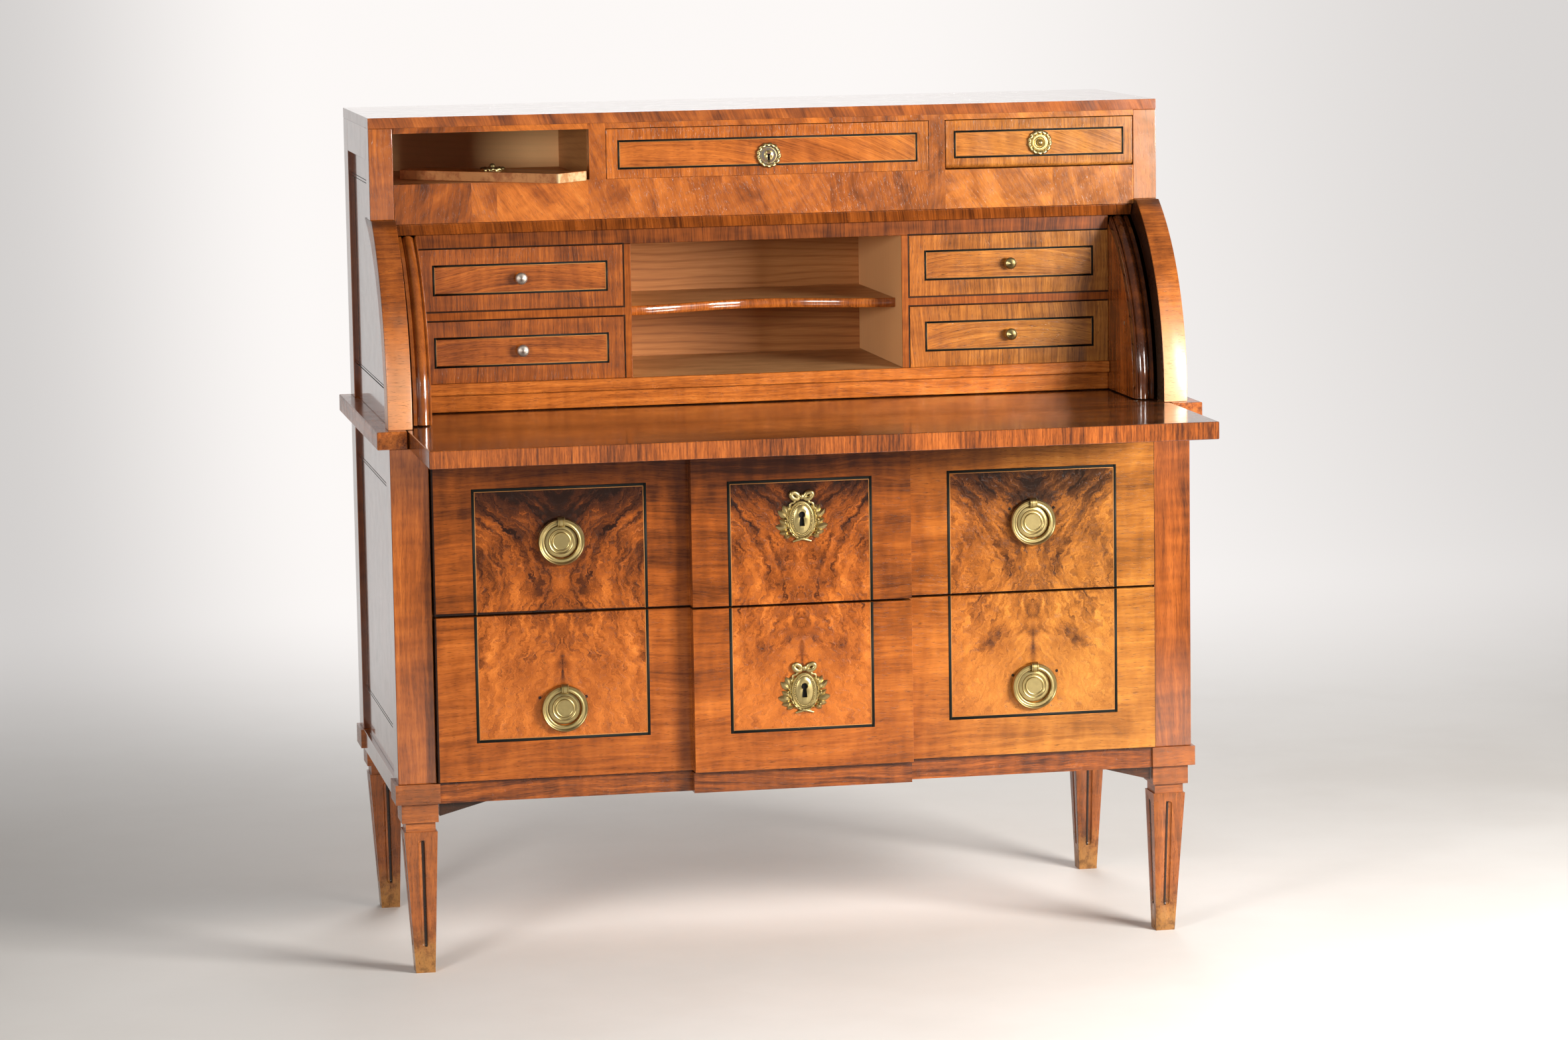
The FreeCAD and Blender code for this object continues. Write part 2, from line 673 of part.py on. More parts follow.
def make_large_drawer(level, z0, z1, key_rise, box_z0, box_z1, rail_above):
    face = -front_proud
    centre = centre_bay_width / 2
    front_half = opening_half - front_side_gap
    middle_z = (z0 + z1) / 2
    key_z = middle_z + key_rise
    front = box(-front_half, front_half, face, front_back, z0, z1)
    front = front.fuse(box(-centre, centre, face - centre_proud, front_back, z0, z1)).removeSplitter()
    front = front.cut(keyhole(0, key_z, face - centre_proud, front_back))
    export(level + "_drawer_front", front)

    back = back_inside - box_back_gap
    bottom_z = box_z0 + box_bottom
    pieces = both_sides(box(box_half - box_board, box_half, front_back, back, box_z0, box_z1))
    inner = box_half - box_board
    pieces.append(box(-inner, inner, back - box_board, back, box_z0, box_z1))
    pieces.append(box(-inner, inner, front_back, back - box_board, box_z0, bottom_z))
    export(level + "_drawer_box", pieces)

    ring_z = middle_z - ring_drop
    fittings = [escutcheon(key_z)]
    for x in (-ring_x, ring_x):
        fittings += ring_plate(x, ring_z)
    export(level + "_drawer_fittings", fittings)
    export(level + "_ring_left", ring_handle(-ring_x, ring_z))
    export(level + "_ring_right", ring_handle(ring_x, ring_z))

    case, bolt = lock(key_z, front_back, lock_height, lock_depth, rail_above - bolt_tip_gap, bolt_y)
    export(level + "_lock_case", case)
    export(level + "_lock_bolt", bolt)


def make_large_drawers():
    upper_z0 = split_height + front_gap / 2
    upper_z1 = ledge_bottom - front_margin
    lower_z0 = case_bottom + front_margin
    lower_z1 = split_height - front_gap / 2
    make_large_drawer("upper", upper_z0, upper_z1, upper_key_rise, middle_rail_top + run_gap,
                      bed_bottom - box_top_gap, bed_bottom)
    make_large_drawer("lower", lower_z0, lower_z1, -lower_key_drop,
                      case_bottom + bottom_thickness + run_gap,
                      middle_rail_bottom - box_top_gap, middle_rail_bottom)


def rosette(place, direction, knob):
    """A flower-shaped plate seen as a stepped disc, with a knob in its middle where knob is not zero."""
    plate = rod(rosette_radius, rosette_thickness, place, direction)
    if knob:
        plate = plate.fuse(rod(knob, rosette_thickness + knob, place, direction))
    return plate


def make_frieze_fittings():
    front_end = front_y + flap_thickness
    z0 = floor_top + run_gap
    z1 = frieze_top - flap_gap
    middle_z = (floor_top + frieze_top) / 2
    key_z = middle_z - frieze_key_drop
    width_half = muntin_inner - flap_gap
    back = back_inside - box_back_gap
    wall_top = z1 - box_top_gap
    front = box(-width_half, width_half, front_y, front_end, z0, z1)
    front = front.cut(keyhole(0, key_z, front_y, front_end))
    inner = width_half - small_board
    sides = both_sides(box(inner, width_half, front_end, back, z0, wall_top))
    rear = box(-inner, inner, back - small_board, back, z0, wall_top)
    bottom = box(-inner, inner, front_end, back - small_board, z0, z0 + small_board)
    export("frieze_drawer", [front] + sides + [rear, bottom])

    plate = rosette(Vector(0, front_y, key_z), Vector(0, -1, 0), 0)
    plate = plate.cut(keyhole(0, key_z, front_y - post_size, front_y + post_size))
    case, bolt = lock(key_z, front_end, frieze_lock_height, frieze_lock_depth,
                      frieze_top - bolt_tip_gap, frieze_bolt_y)
    export("frieze_drawer_lock", [plate, case])
    export("frieze_lock_bolt", bolt)

    x0 = muntin_outer + flap_gap
    x1 = inner_half - flap_gap
    flap = flap_board(x0, x1)
    for start, reach in ((x0, 1), (x1, -1)):
        flap = flap.cut(rod(flap_pin_radius + pin_clearance, flap_pin_length,
                            Vector(start, flap_axis_y, flap_axis_z), Vector(reach, 0, 0)))
    export("right_flap", flap)
    knob_place = Vector((x0 + x1) / 2, front_y, middle_z)
    knob = rosette(knob_place, Vector(0, -1, 0), rosette_knob)
    export("right_flap_knob", knob)

    # The left flap has come off its pins and lies on its back in the compartment.
    height = frieze_top - floor_top - 2 * flap_gap
    length = x1 - x0
    board = box(-length / 2, length / 2, -height / 2, height / 2, 0, flap_thickness)
    loose_knob = rosette(Vector(0, 0, flap_thickness), Vector(0, 0, 1), rosette_knob)
    for name, piece in (("loose_flap", board), ("loose_flap_knob", loose_knob)):
        piece.rotate(Vector(0, 0, 0), Vector(0, 0, 1), -loose_flap_turn)
        piece.translate(Vector(loose_flap_shift - (x0 + x1) / 2, front_y + loose_flap_set,
                               floor_top + run_gap))
        export(name, piece)


def flap_board(x0, x1):
    """A flap with a round lower edge about its pins."""
    z1 = frieze_top - flap_gap
    back = front_y + flap_thickness
    upright = box(x0, x1, front_y, back, flap_axis_z, z1)
    edge = rod(flap_thickness / 2, x1 - x0, Vector(x0, flap_axis_y, flap_axis_z), Vector(1, 0, 0))
    return upright.fuse(edge).removeSplitter()


# Places shared by several pieces
bolt_y = front_back + (lock_depth - bolt_thickness) / 2
frieze_bolt_y = front_y + flap_thickness + (frieze_lock_depth - bolt_thickness) / 2
flap_axis_y = front_y + flap_thickness / 2
flap_axis_z = floor_top + flap_gap + flap_thickness / 2

os.makedirs("parts", exist_ok=True)
make_legs()
make_lower_case()
make_ledges()
make_upper_case()
make_cylinder()
make_slide()
make_nest()
make_large_drawers()
make_frieze_fittings()

print("overall height", round(total_height, 2), "case depth", round(case_back, 2))
print("cylinder axis", round(axis_y, 2), round(axis_z, 2), "moved by", round(to_origin.y, 3))
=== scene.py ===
import math

import bmesh
import bpy
from mathutils import Matrix, Vector


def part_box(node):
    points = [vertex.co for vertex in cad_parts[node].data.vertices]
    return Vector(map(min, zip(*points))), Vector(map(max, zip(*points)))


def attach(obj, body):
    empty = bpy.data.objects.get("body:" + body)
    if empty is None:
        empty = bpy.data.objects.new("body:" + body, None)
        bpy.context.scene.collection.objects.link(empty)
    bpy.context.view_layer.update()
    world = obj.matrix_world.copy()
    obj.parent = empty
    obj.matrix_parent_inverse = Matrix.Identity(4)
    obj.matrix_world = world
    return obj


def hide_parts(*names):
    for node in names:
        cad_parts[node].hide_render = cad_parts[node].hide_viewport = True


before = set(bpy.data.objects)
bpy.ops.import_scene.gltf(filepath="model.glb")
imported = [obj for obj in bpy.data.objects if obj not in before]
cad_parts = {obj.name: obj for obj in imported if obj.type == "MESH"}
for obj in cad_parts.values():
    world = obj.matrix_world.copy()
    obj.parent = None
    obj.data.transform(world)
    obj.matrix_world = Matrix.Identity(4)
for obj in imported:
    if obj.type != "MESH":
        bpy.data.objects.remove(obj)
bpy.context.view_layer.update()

# Sizes are in millimetres from the case: x from its middle, y from the front of its posts, z from the floor.
# Positions inside materials are in metres, as the texture coordinates are.
MM = 0.001
front_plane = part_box("lower_side_left")[0].y


def place(x, y, z):
    """A point of the case, in metres in the frame."""
    return Vector((x * MM, front_plane + y * MM, z * MM))


def case_box(node):
    """A node's lowest and highest corners in case millimetres."""
    return [Vector((c.x / MM, (c.y - front_plane) / MM, c.z / MM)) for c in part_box(node)]


# Camera
camera_place = (-1284.69, -6657.30, 1533.02)
camera_yaw = 0.1879
camera_pitch = -0.1328
camera_roll = -0.0159
photo_width = 2364
focal_pixels = 7293.06
sensor_width = 36.0
camera_reach = 100.0

# Axis of the cylinder
axis_y = 326.0
axis_z = 787.0

# Large drawers: half width of the middle bay, front of the side bays, panels inside the inlaid lines
middle_half = 157.5
side_bay_face = -10.0
bays = {"left": (-464.0, -217.0), "centre": (-106.0, 101.5), "right": (215.0, 463.0)}
panel_bottom = 331.0
panel_top = 690.0

# Figure of the panels: height where its streaks stand upright, and of the smudges and the dark seam below
figure_waist = 585.0
figure_smudge = 440.0
figure_seam = 432.0

# Inlaid lines
large_line = 4.0
small_line = 2.8
pale_line = 0.9
line_proud = 0.15
line_sunk = 0.6
small_margin = 22.0

# Old nail holes beside the ring handles, on the large drawers
nail_holes = [(-373.6, 391.6), (-307.8, 390.4), (308.8, 391.7), (373.3, 395.4), (306.3, 632.0),
              (370.4, 631.3)]
nail_radius = 2.2

# Double lines on the sides
post_size = 54.0
case_back = 519.85
upper_stile_back = 215.0
lower_joints = (338.0, 684.0)
upper_joints = (823.0, 1102.0)
side_margin = 35.0
side_line = 0.9
side_lines_apart = 4.2

# Joints between the back boards, and between the lengths of veneer on the frieze
board_joints = (392.0, 508.0, 660.0, 790.0, 911.0, 1042.0)
board_gap = 0.7
frieze_joints = (-541.0, -430.0, -393.5, -262.0, -236.0, -201.7, -68.0, 90.0, 234.0, 260.0, 419.5, 539.0)
frieze_half = 540.5
compartment_floor = 1105.0

# Panels of the frieze: left, right, bottom and top of the lines, and a seed
frieze_panels = {"frieze_drawer": (-219.0, 219.0, 1118.0, 1160.0, 31.0),
                 "right_flap": (273.0, 526.0, 1121.0, 1161.0, 34.0)}
flap_turn = math.radians(43.0)

# Middle of a front leg at the floor and at its shoulder; ends and half widths of its flutes
leg_foot = place(540.75, 34.25, 0)
leg_top = place(544.0, 31.0, 205.0)
flute_ends = (38.0, 193.0)
flute_halves = (3.6, 4.7)
rear_mirror = (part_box("leg_front_left")[0].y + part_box("leg_rear_left")[1].y) / 2

# Underside of the base rail
base_bottom = 246.0

# Pigeonhole shelf: its half width, its top, and the rounded strip on its edge
shelf_half = 199.1
shelf_top = 915.2
shelf_edge_depth = 130.0
nosing_low = 901.8
nosing_high = 915.6
nosing_out = 3.6

# Guide bands: inner face and the turn, in degrees, in which they run
guide_inner = 508.5
guide_start = 119.4
guide_end = 182.3

# Pin in the right lining: how far inside the guide's outer face, and where
pin_inside = 25.5
pin_place = (110.4, 880.1)

small_drawers = ["small_drawer_upper_left", "small_drawer_lower_left", "small_drawer_upper_right",
                 "small_drawer_lower_right"]

# Profiles of turned brass: radius, or offset from the ring's middle, and height above the wood
ring_radius = 28.45
ring_section = [(-4.75, -0.4), (-4.25, 1.6), (-2.95, 2.6), (-1.75, 2.2), (-0.6, 1.7), (0.6, 2.0), (1.2, 3.2),
                (2.95, 4.1), (4.15, 3.0), (4.75, 0.8), (4.35, -1.6), (2.75, -3.0), (-2.75, -2.8),
                (-4.25, -1.8), (-4.75, -0.4)]
plate_profile = [(22.9, 0), (22.9, 1.6), (22.2, 2.4), (18.6, 3.0), (17.9, 3.1), (17.6, 3.9), (16.9, 4.5),
                 (16.0, 4.2), (15.2, 3.5), (14.2, 3.4), (13.4, 3.8), (12.9, 4.8), (12.2, 5.5), (11.4, 5.4),
                 (10.8, 4.9), (0.05, 4.9)]
knob_profile = [(5.2, 0), (5.2, 0.8), (4.0, 1.6), (3.2, 3.2), (3.4, 5.0), (5.8, 6.0), (7.8, 7.2), (8.8, 9.0),
                (8.8, 10.2), (7.9, 12.0), (5.8, 13.2), (3.0, 13.9)]
pin_profile = [(3.2, -0.5), (3.2, 0.1), (2.5, 0.3), (1.2, 0.42), (0.05, 0.45)]
key_rim = [(0, 2.4), (0.3, 1.5), (3.2, 1.5), (3.6, 2.4), (4.6, 2.2), (5.4, 2.9), (6.0, 3.3), (6.5, 2.6),
           (6.6, 1.4), (6.6, 0.0)]
rosette_rim = [(14.0, 0), (14.0, 1.6), (12.2, 2.0), (11.6, 3.0), (10.8, 3.1), (10.2, 2.2), (9.6, 2.0)]
rosette_knob = [(14.0, 0), (14.0, 1.6), (12.0, 2.0), (11.4, 3.0), (10.6, 3.1), (10.0, 2.2), (8.6, 2.2),
                (8.0, 3.6), (7.2, 4.4), (6.2, 4.2), (5.6, 3.6), (4.6, 4.4), (4.4, 6.4), (3.6, 8.4), (2.0, 9.6),
                (0.05, 9.9)]

# Strap of a handle: its turn to each side of straight out, in degrees; place across it and distance from the
# ring's axis
strap_turn = 128.0
strap_profile = [(-5.2, 5.3), (-5.2, 6.6), (-4.6, 7.2), (-3.4, 7.2), (-2.9, 6.6), (-2.4, 7.3), (2.4, 7.3),
                 (2.9, 6.6), (3.4, 7.2), (4.6, 7.2), (5.2, 6.6), (5.2, 5.3)]

# Guide band: place across it and distance from the cylinder's axis
band_profile = [(0.0, 264.0), (0.0, 275.6), (0.5, 277.6), (1.9, 278.7), (3.3, 277.6), (3.8, 275.6),
                (4.3, 275.4), (4.8, 276.6), (7.0, 278.7), (10.0, 280.0), (12.5, 280.3), (15.0, 280.0),
                (18.0, 278.7), (20.0, 276.6), (20.5, 275.4), (21.0, 277.4), (22.0, 279.3), (26.2, 279.3),
                (26.6, 278.8), (26.6, 264.0)]

# Key plates: half width and half height of the oval, of the row of beads and of the laurel's stem
key_oval = (12.3, 19.8)
bead_oval = (14.1, 21.6)
bead_count = 44
laurel_oval = (20.2, 27.6)

# Leaves of a spray: foot x and y, direction in degrees, length and width
leaves = [(19.6, 5.0, 67.0, 17.0, 9.2), (20.6, 1.6, 43.0, 18.0, 9.4), (19.4, -8.6, 36.0, 15.6, 8.4),
          (19.6, -12.4, 12.0, 18.6, 10.4), (18.6, -16.6, -10.0, 14.0, 8.8), (16.0, -20.8, -30.0, 11.0, 7.6),
          (18.6, 9.6, 82.0, 11.0, 7.0)]
berries = [(23.6, -0.8), (24.0, -4.2), (22.6, -19.6), (18.8, 15.4)]

# Colours of wood from dark to pale, as stops of a ramp
walnut_stops = [(0.0, (0.016, 0.005, 0.002)), (0.22, (0.075, 0.019, 0.005)), (0.45, (0.270, 0.067, 0.010)),
                (0.68, (0.500, 0.140, 0.021)), (1.0, (0.720, 0.265, 0.055))]
spruce_stops = [(0.0, (0.200, 0.066, 0.017)), (0.35, (0.400, 0.155, 0.043)), (0.65, (0.550, 0.240, 0.075)),
                (1.0, (0.670, 0.340, 0.125))]

# Painted light: wood towards the right is multiplied by this, a pale sheen of the light from the right
right_light_tint = (0.98, 1.40, 1.65)

# Varnish of the sides
side_varnish = {"gloss": 0.16, "coat": 1.0, "film": 0.06}


def operator(operation):
    """A method that adds a Math node for a signal and another value."""
    return lambda signal, other: signal.graph.math(operation, signal, other)


class Signal:
    """An output in a material. Arithmetic on it adds Math nodes, and a | b is the larger of two."""

    __add__ = __radd__ = operator("ADD")
    __sub__ = operator("SUBTRACT")
    __mul__ = __rmul__ = operator("MULTIPLY")
    __pow__ = operator("POWER")
    __gt__ = operator("GREATER_THAN")
    __lt__ = operator("LESS_THAN")
    __or__ = operator("MAXIMUM")

    def __init__(self, graph, socket):
        self.graph = graph
        self.socket = socket

    def __rsub__(self, other):
        return self.graph.math("SUBTRACT", other, self)

    def __abs__(self):
        return self.graph.math("ABSOLUTE", self)


class Graph:
    """A short way to write a material's nodes: most methods add one and return its output."""

    def __init__(self, name):
        self.material = bpy.data.materials.new(name)
        self.material.use_nodes = True
        self.tree = self.material.node_tree
        self.tree.nodes.clear()
        self.where = self.node("ShaderNodeTexCoord", output="Object")
        self.x, self.y, self.z = self.split(self.where)

    def node(self, kind, inputs=(), output=0, **settings):
        """Add a node with its inputs by place or by name; plain values are set on their own sockets."""
        made = self.tree.nodes.new(kind)
        for key, value in settings.items():
            setattr(made, key, value)
        for key, value in inputs.items() if isinstance(inputs, dict) else enumerate(inputs):
            if isinstance(value, Signal):
                self.tree.links.new(value.socket, made.inputs[key])
            else:
                made.inputs[key].default_value = value
        return Signal(self, made.outputs[output])

    def math(self, operation, *values):
        return self.node("ShaderNodeMath", values, operation=operation)

    def split(self, vector):
        first = self.node("ShaderNodeSeparateXYZ", [vector])
        return [Signal(self, socket) for socket in first.socket.node.outputs]

    def join(self, x, y, z):
        return self.node("ShaderNodeCombineXYZ", (x, y, z))

    def scaled(self, x, y, z, sx, sy, sz):
        return self.node("ShaderNodeVectorMath", (self.join(x, y, z), (sx, sy, sz)), operation="MULTIPLY")

    def noise(self, vector, scale=1.0, detail=2.0, roughness=0.5, distortion=0.0):
        return self.node("ShaderNodeTexNoise", {"Vector": vector, "Scale": scale, "Detail": detail,
                                                "Roughness": roughness, "Distortion": distortion})

    def ripple(self, vector, **options):
        """Noise about zero."""
        return self.noise(vector, **options) - 0.5

    def normal(self):
        """The three parts of the surface's direction."""
        return self.split(self.node("ShaderNodeNewGeometry", output="Normal"))

    def chance(self, value):
        """A number from 0 to 1 that belongs to a whole-number value."""
        return self.node("ShaderNodeTexWhiteNoise", {"W": value}, noise_dimensions="1D")

    def specks(self, vector, scale, size):
        """1 in round spots about random points of the plane of the first two coordinates."""
        distance = self.node("ShaderNodeTexVoronoi", {"Vector": vector, "Scale": scale}, "Distance",
                             feature="F1", voronoi_dimensions="2D")
        return self.smooth(distance, size, size * 0.5)

    def smooth(self, value, low, high, start=0.0, end=1.0):
        ends = (value, low, high, start, end)
        return self.node("ShaderNodeMapRange", ends, interpolation_type="SMOOTHSTEP")

    def within(self, value, low, high):
        return (value > low) * (value < high)

    def ramp(self, value, stops):
        colour = self.node("ShaderNodeValToRGB", [value])
        elements = colour.socket.node.color_ramp.elements
        while len(elements) < len(stops):
            elements.new(0.5)
        for element, (position, stop) in zip(elements, stops):
            element.position = position
            element.color = (*stop, 1.0)
        return colour

    def mix(self, factor, a, b, blend="MIX"):
        """Colour a where factor is 0, colour b where it is 1."""
        a, b = (value if isinstance(value, Signal) else (*value, 1.0) for value in (a, b))
        return self.node("ShaderNodeMix", {0: factor, 6: a, 7: b}, 2, data_type="RGBA", blend_type=blend)

    def blend(self, factor, a, b):
        """Number a where factor is 0, number b where it is 1."""
        return self.node("ShaderNodeMix", {0: factor, 2: a, 3: b}, data_type="FLOAT")

    def layer(self, factor, a, b):
        """Shader a where factor is 0, shader b where it is 1."""
        return self.node("ShaderNodeMixShader", (factor, a, b))

    def surface(self, colour, roughness, height=None, depth=0.0003, **constants):
        inputs = {"Base Color": colour, "Roughness": roughness}
        for key, value in constants.items():
            inputs[key.replace("_", " ")] = value
        if height is not None:
            bump = {"Strength": 0.5, "Distance": depth, "Height": height}
            inputs["Normal"] = self.node("ShaderNodeBump", bump)
        return self.node("ShaderNodeBsdfPrincipled", inputs)

    def close(self, shader):
        output = self.tree.nodes.new("ShaderNodeOutputMaterial")
        self.tree.links.new(shader.socket, output.inputs[0])
        return self.material

    def finish(self, *arguments, **constants):
        return self.close(self.surface(*arguments, **constants))


class Wood(Graph):
    """Polished wood. Grain runs along the first of the three coordinates that a method is given."""

    def grain(self, along, across, depth, run, width, **options):
        """Noise about zero, drawn out along the grain."""
        return self.ripple(self.scaled(along, across, depth, run, width, width), **options)

    def lines(self, along, across, depth, seed, density=1.0, bold=1.0, fine=1.0):
        """Straight grain as a brightness about 0.5: bands, dark hairlines, streaks, curl and fibres."""
        moved = along + seed * 3.1
        wander = self.grain(moved, across, depth, 2.2, 5.0)
        wiggle = self.grain(moved, across, depth, 14.0, 26.0)
        where = (moved, across + wander * 0.060 + wiggle * 0.007, depth)
        wide = 22.0 * density
        bands = self.grain(*where, 1.3, wide, detail=5.0, roughness=0.66)
        hairline = self.smooth(abs(self.grain(*where, 1.9, wide * 2.2)), 0.035, 0.0)
        streaks = self.grain(*where, 7.0, 190.0 * density, detail=4.0, roughness=0.65)
        curl = self.grain(*where, 55.0, 16.0)
        fibres = self.grain(along, *where[1:], 60.0, 1000.0)
        value = bands * (1.15 * bold) + 0.5 + hairline * (-0.10 * bold)
        return value + streaks * (0.75 * fine) + curl * 0.30 + fibres * (0.36 * fine)

    def pores(self, along, across, depth):
        """Short dark pores along the grain, 1 where there is one."""
        return self.smooth(self.grain(along, across, depth, 95.0, 1300.0, detail=1.0), 0.13, 0.21)

    def polish(self, value, pores, layers=(), gloss=0.24, coat=0.18, film=0.10, shine=0.30, painted_right_light=0.0):
        """Colour the brightness, lay (factor, colour) layers over it and varnish it."""
        colour = self.ramp(value, walnut_stops)
        # Painted light: the colour turns paler and less orange towards the right
        if painted_right_light:
            colour = self.mix(self.smooth(self.x, 0.05, 0.45, 0.0, painted_right_light), colour, right_light_tint, "MULTIPLY")
        for factor, tint in layers:
            colour = self.mix(factor, colour, tint)
        colour = self.mix(pores * 0.6, colour, (0.030, 0.009, 0.003))
        wear = self.noise(self.where, scale=30.0, detail=4.0, roughness=0.65)
        roughness = self.smooth(wear, 0.30, 0.75, gloss - 0.05, gloss + 0.06)
        return self.finish(colour, roughness, value * 0.35 - pores, 0.00012, Coat_Weight=coat,
                           Coat_Roughness=film, Specular_IOR_Level=shine)

    def bare(self, colour, value):
        """Softwood without varnish."""
        return self.finish(colour, 0.55, value, 0.0002, Specular_IOR_Level=0.3)

    def axes(self, grain):
        """The coordinates with the one along the grain first."""
        order = {"X": (self.x, self.z, self.y), "Y": (self.y, self.z, self.x), "Z": (self.z, self.x, self.y)}
        return order[grain]

    def softwood(self, along, across, depth, seed):
        """Growth lines of bare softwood as a brightness: thin dark late wood between wide pale bands."""
        shifted = along + seed
        wander = self.grain(shifted, across, depth, 1.5, 3.0)
        crossing = wander * 0.09 + depth * 0.35 + across
        pace = self.noise(self.scaled(shifted, crossing, 0.0, 0.6, 14.0, 1.0))
        wave = self.math("SINE", (pace * 0.05 + crossing) * 620.0)
        rings = (wave * 0.5 + 0.5) ** 4.0
        broad = self.grain(shifted, across, depth, 2.0, 9.0, detail=4.0)
        fibres = self.grain(along, across, depth, 20.0, 700.0)
        return rings * -0.13 + 0.58 + broad * 0.6 + fibres * 0.30


def plain_walnut(name, grain, seed, shade=0.0, density=1.0, bold=0.8, fine=1.0, **varnish):
    g = Wood(name)
    where = g.axes(grain)
    return g.polish(g.lines(*where, seed, density, bold, fine) + shade, g.pores(*where), **varnish)


def spruce(name, grain, seed, shade=0.0):
    """Bare softwood with even growth lines."""
    g = Wood(name)
    value = g.softwood(*g.axes(grain), seed)
    return g.bare(g.ramp(value + shade, spruce_stops), value)


def side_frame(name, seed):
    """Posts with upright grain, and rails between them with grain that runs front to back; the reveals of the
    posts carry painted shade and the front of the upper right side a painted sheen.
    """
    g = Wood(name)
    low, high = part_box(name)
    facing = g.normal()[1]
    front = facing < -0.9
    rail = g.within(g.y, low.y + post_size * MM, high.y - post_size * MM) * (1.0 - front)
    along = g.blend(rail, g.z, g.y)
    across = g.blend(rail, g.blend(front, g.y, g.x), g.z)
    value = g.lines(along, across, g.blend(front, g.x, g.y), seed, bold=0.55, fine=0.7)
    value = value + g.blend(front, -0.02, -0.08 if name.endswith("right") else -0.03)
    # Painted shade on the faces of the posts that look into the panel's recess
    inward = g.math("SIGN", (low.y + high.y) / 2 - g.y)
    reveal = facing * inward > 0.9
    # Painted sheen: the front of the upper right side is paler
    wear_and_sheen = front * (0.22 if name == "upper_side_right" else 0.0)
    layers = [(wear_and_sheen, (0.88, 0.56, 0.34)), (reveal * 0.75, (0.045, 0.010, 0.005))]
    return g.polish(value, g.pores(along, across, g.x), layers, **side_varnish)


def arm_wood(name):
    """Cross-grained arms with a painted highlight low down, stronger on the right arm, and painted shade:
    black on their inner faces and under the frieze.
    """
    g = Wood(name)
    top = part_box(name)[1].z
    mottle = g.noise(g.where, scale=22.0, detail=4.0, roughness=0.6)
    value = g.lines(g.x, g.z, g.y, 13.0, density=1.3, bold=0.25, fine=0.65)
    # Painted light: lighter low down, darker towards the top
    value = value + g.smooth(g.z, 0.88, 1.00, 0.04, -0.05) + (mottle - 0.5) * 0.40
    outward = g.normal()[0] * g.math("SIGN", g.x)
    # Painted highlight, paler low down; half as strong on the left arm
    wear_and_sheen = g.smooth(mottle * 0.10 + g.z, 1.00, 0.86) * g.blend(g.x > 0.0, 0.5, 1.0)
    # Painted shade under the frieze and on the inner faces
    shade_under_frieze = g.smooth(g.z, top - 14.0 * MM, top - 4.0 * MM, 0.0, 0.75)
    dirt_and_shade = (outward < -0.9) | shade_under_frieze
    layers = [(wear_and_sheen * 0.72, (0.97, 0.54, 0.29)), (dirt_and_shade * 0.92, (0.010, 0.005, 0.004))]
    return g.polish(value, g.pores(g.x, g.z, g.y), layers, gloss=0.30, coat=0.5, film=0.28, painted_right_light=0.15)


def back_wood(name):
    """Bare boards laid level, each with its own tone; the inside faces carry painted light and shade, darker
    in the pigeonhole and pale in the frieze compartments.
    """
    g = Wood(name)
    boards = [g.z > joint * MM for joint in board_joints]
    seams = [abs(g.z - joint * MM) < board_gap * MM for joint in board_joints]
    board, seam = boards[0], seams[0]
    for number in range(1, len(board_joints)):
        board = board + boards[number]
        seam = seam | seams[number]
    luck = g.chance(board)
    grain = g.softwood(luck * 5.0 + g.x, g.z, g.y, 2.0)
    outdoors = grain + luck * 0.22 - 0.02
    high = g.z > compartment_floor * MM
    inside = g.normal()[1] < 0.0
    # Painted light and shade on the inside faces, pale high up in the frieze compartments
    painted_inside = (grain - 0.5) * 1.5 + g.blend(high, 0.30, 0.66)
    value = g.blend(inside, outdoors, painted_inside)
    colour = g.mix(inside * high * 0.72, g.ramp(value, spruce_stops), (1.0, 0.62, 0.28))
    return g.bare(g.mix(seam * 0.8, colour, (0.020, 0.010, 0.005)), value)


def leg_wood(name, seed, mirror_y):
    """Upright grain, flutes that are black on their inner half with a painted highlight on the other, and a
    worn foot.
    """
    g = Wood(name)
    block = g.z > leg_top.z
    along = g.blend(block, g.z, g.x + g.y)
    across = g.blend(block, g.x, g.z)
    value = g.lines(along, across, g.blend(block, g.y, 0.0), seed, bold=0.4, fine=0.8) - 0.05
    share = g.z * (1.0 / leg_top.z)
    half = g.blend(share, flute_halves[0] * MM, flute_halves[1] * MM)
    sideways = g.blend(share, leg_foot.x, leg_top.x) - abs(g.x)
    depth = 2 * mirror_y - g.y if mirror_y else g.y
    backward = depth - g.blend(share, leg_foot.y, leg_top.y)
    height = g.within(g.z, flute_ends[0] * MM, flute_ends[1] * MM)
    black = (g.within(sideways, 0.0, half) | g.within(backward, 0.0, half)) * height
    # Painted highlight: the outer half of each flute is lighter
    outer = -flute_halves[1] * MM
    pale = (g.within(sideways, outer, 0.0) | g.within(backward, outer, 0.0)) * height
    value = value + pale * g.smooth(g.z, 0.05, 0.13) * 0.10
    scuff = g.noise(g.where, scale=60.0, detail=4.0, roughness=0.7)
    foot = g.smooth(scuff * 0.09 + g.z, 0.115, 0.055)
    dirt_and_shade = g.smooth(scuff * 0.05 + g.z, 0.105, 0.075) * g.smooth(scuff, 0.45, 0.66)
    layers = [(0.12, (0.30, 0.19, 0.12)), (foot * 0.70, (0.40, 0.20, 0.055)),
              (dirt_and_shade * 0.55, (0.045, 0.018, 0.007)), (black * 0.94, (0.012, 0.012, 0.011))]
    return g.polish(value, g.pores(along, across, g.y), layers, gloss=0.30)


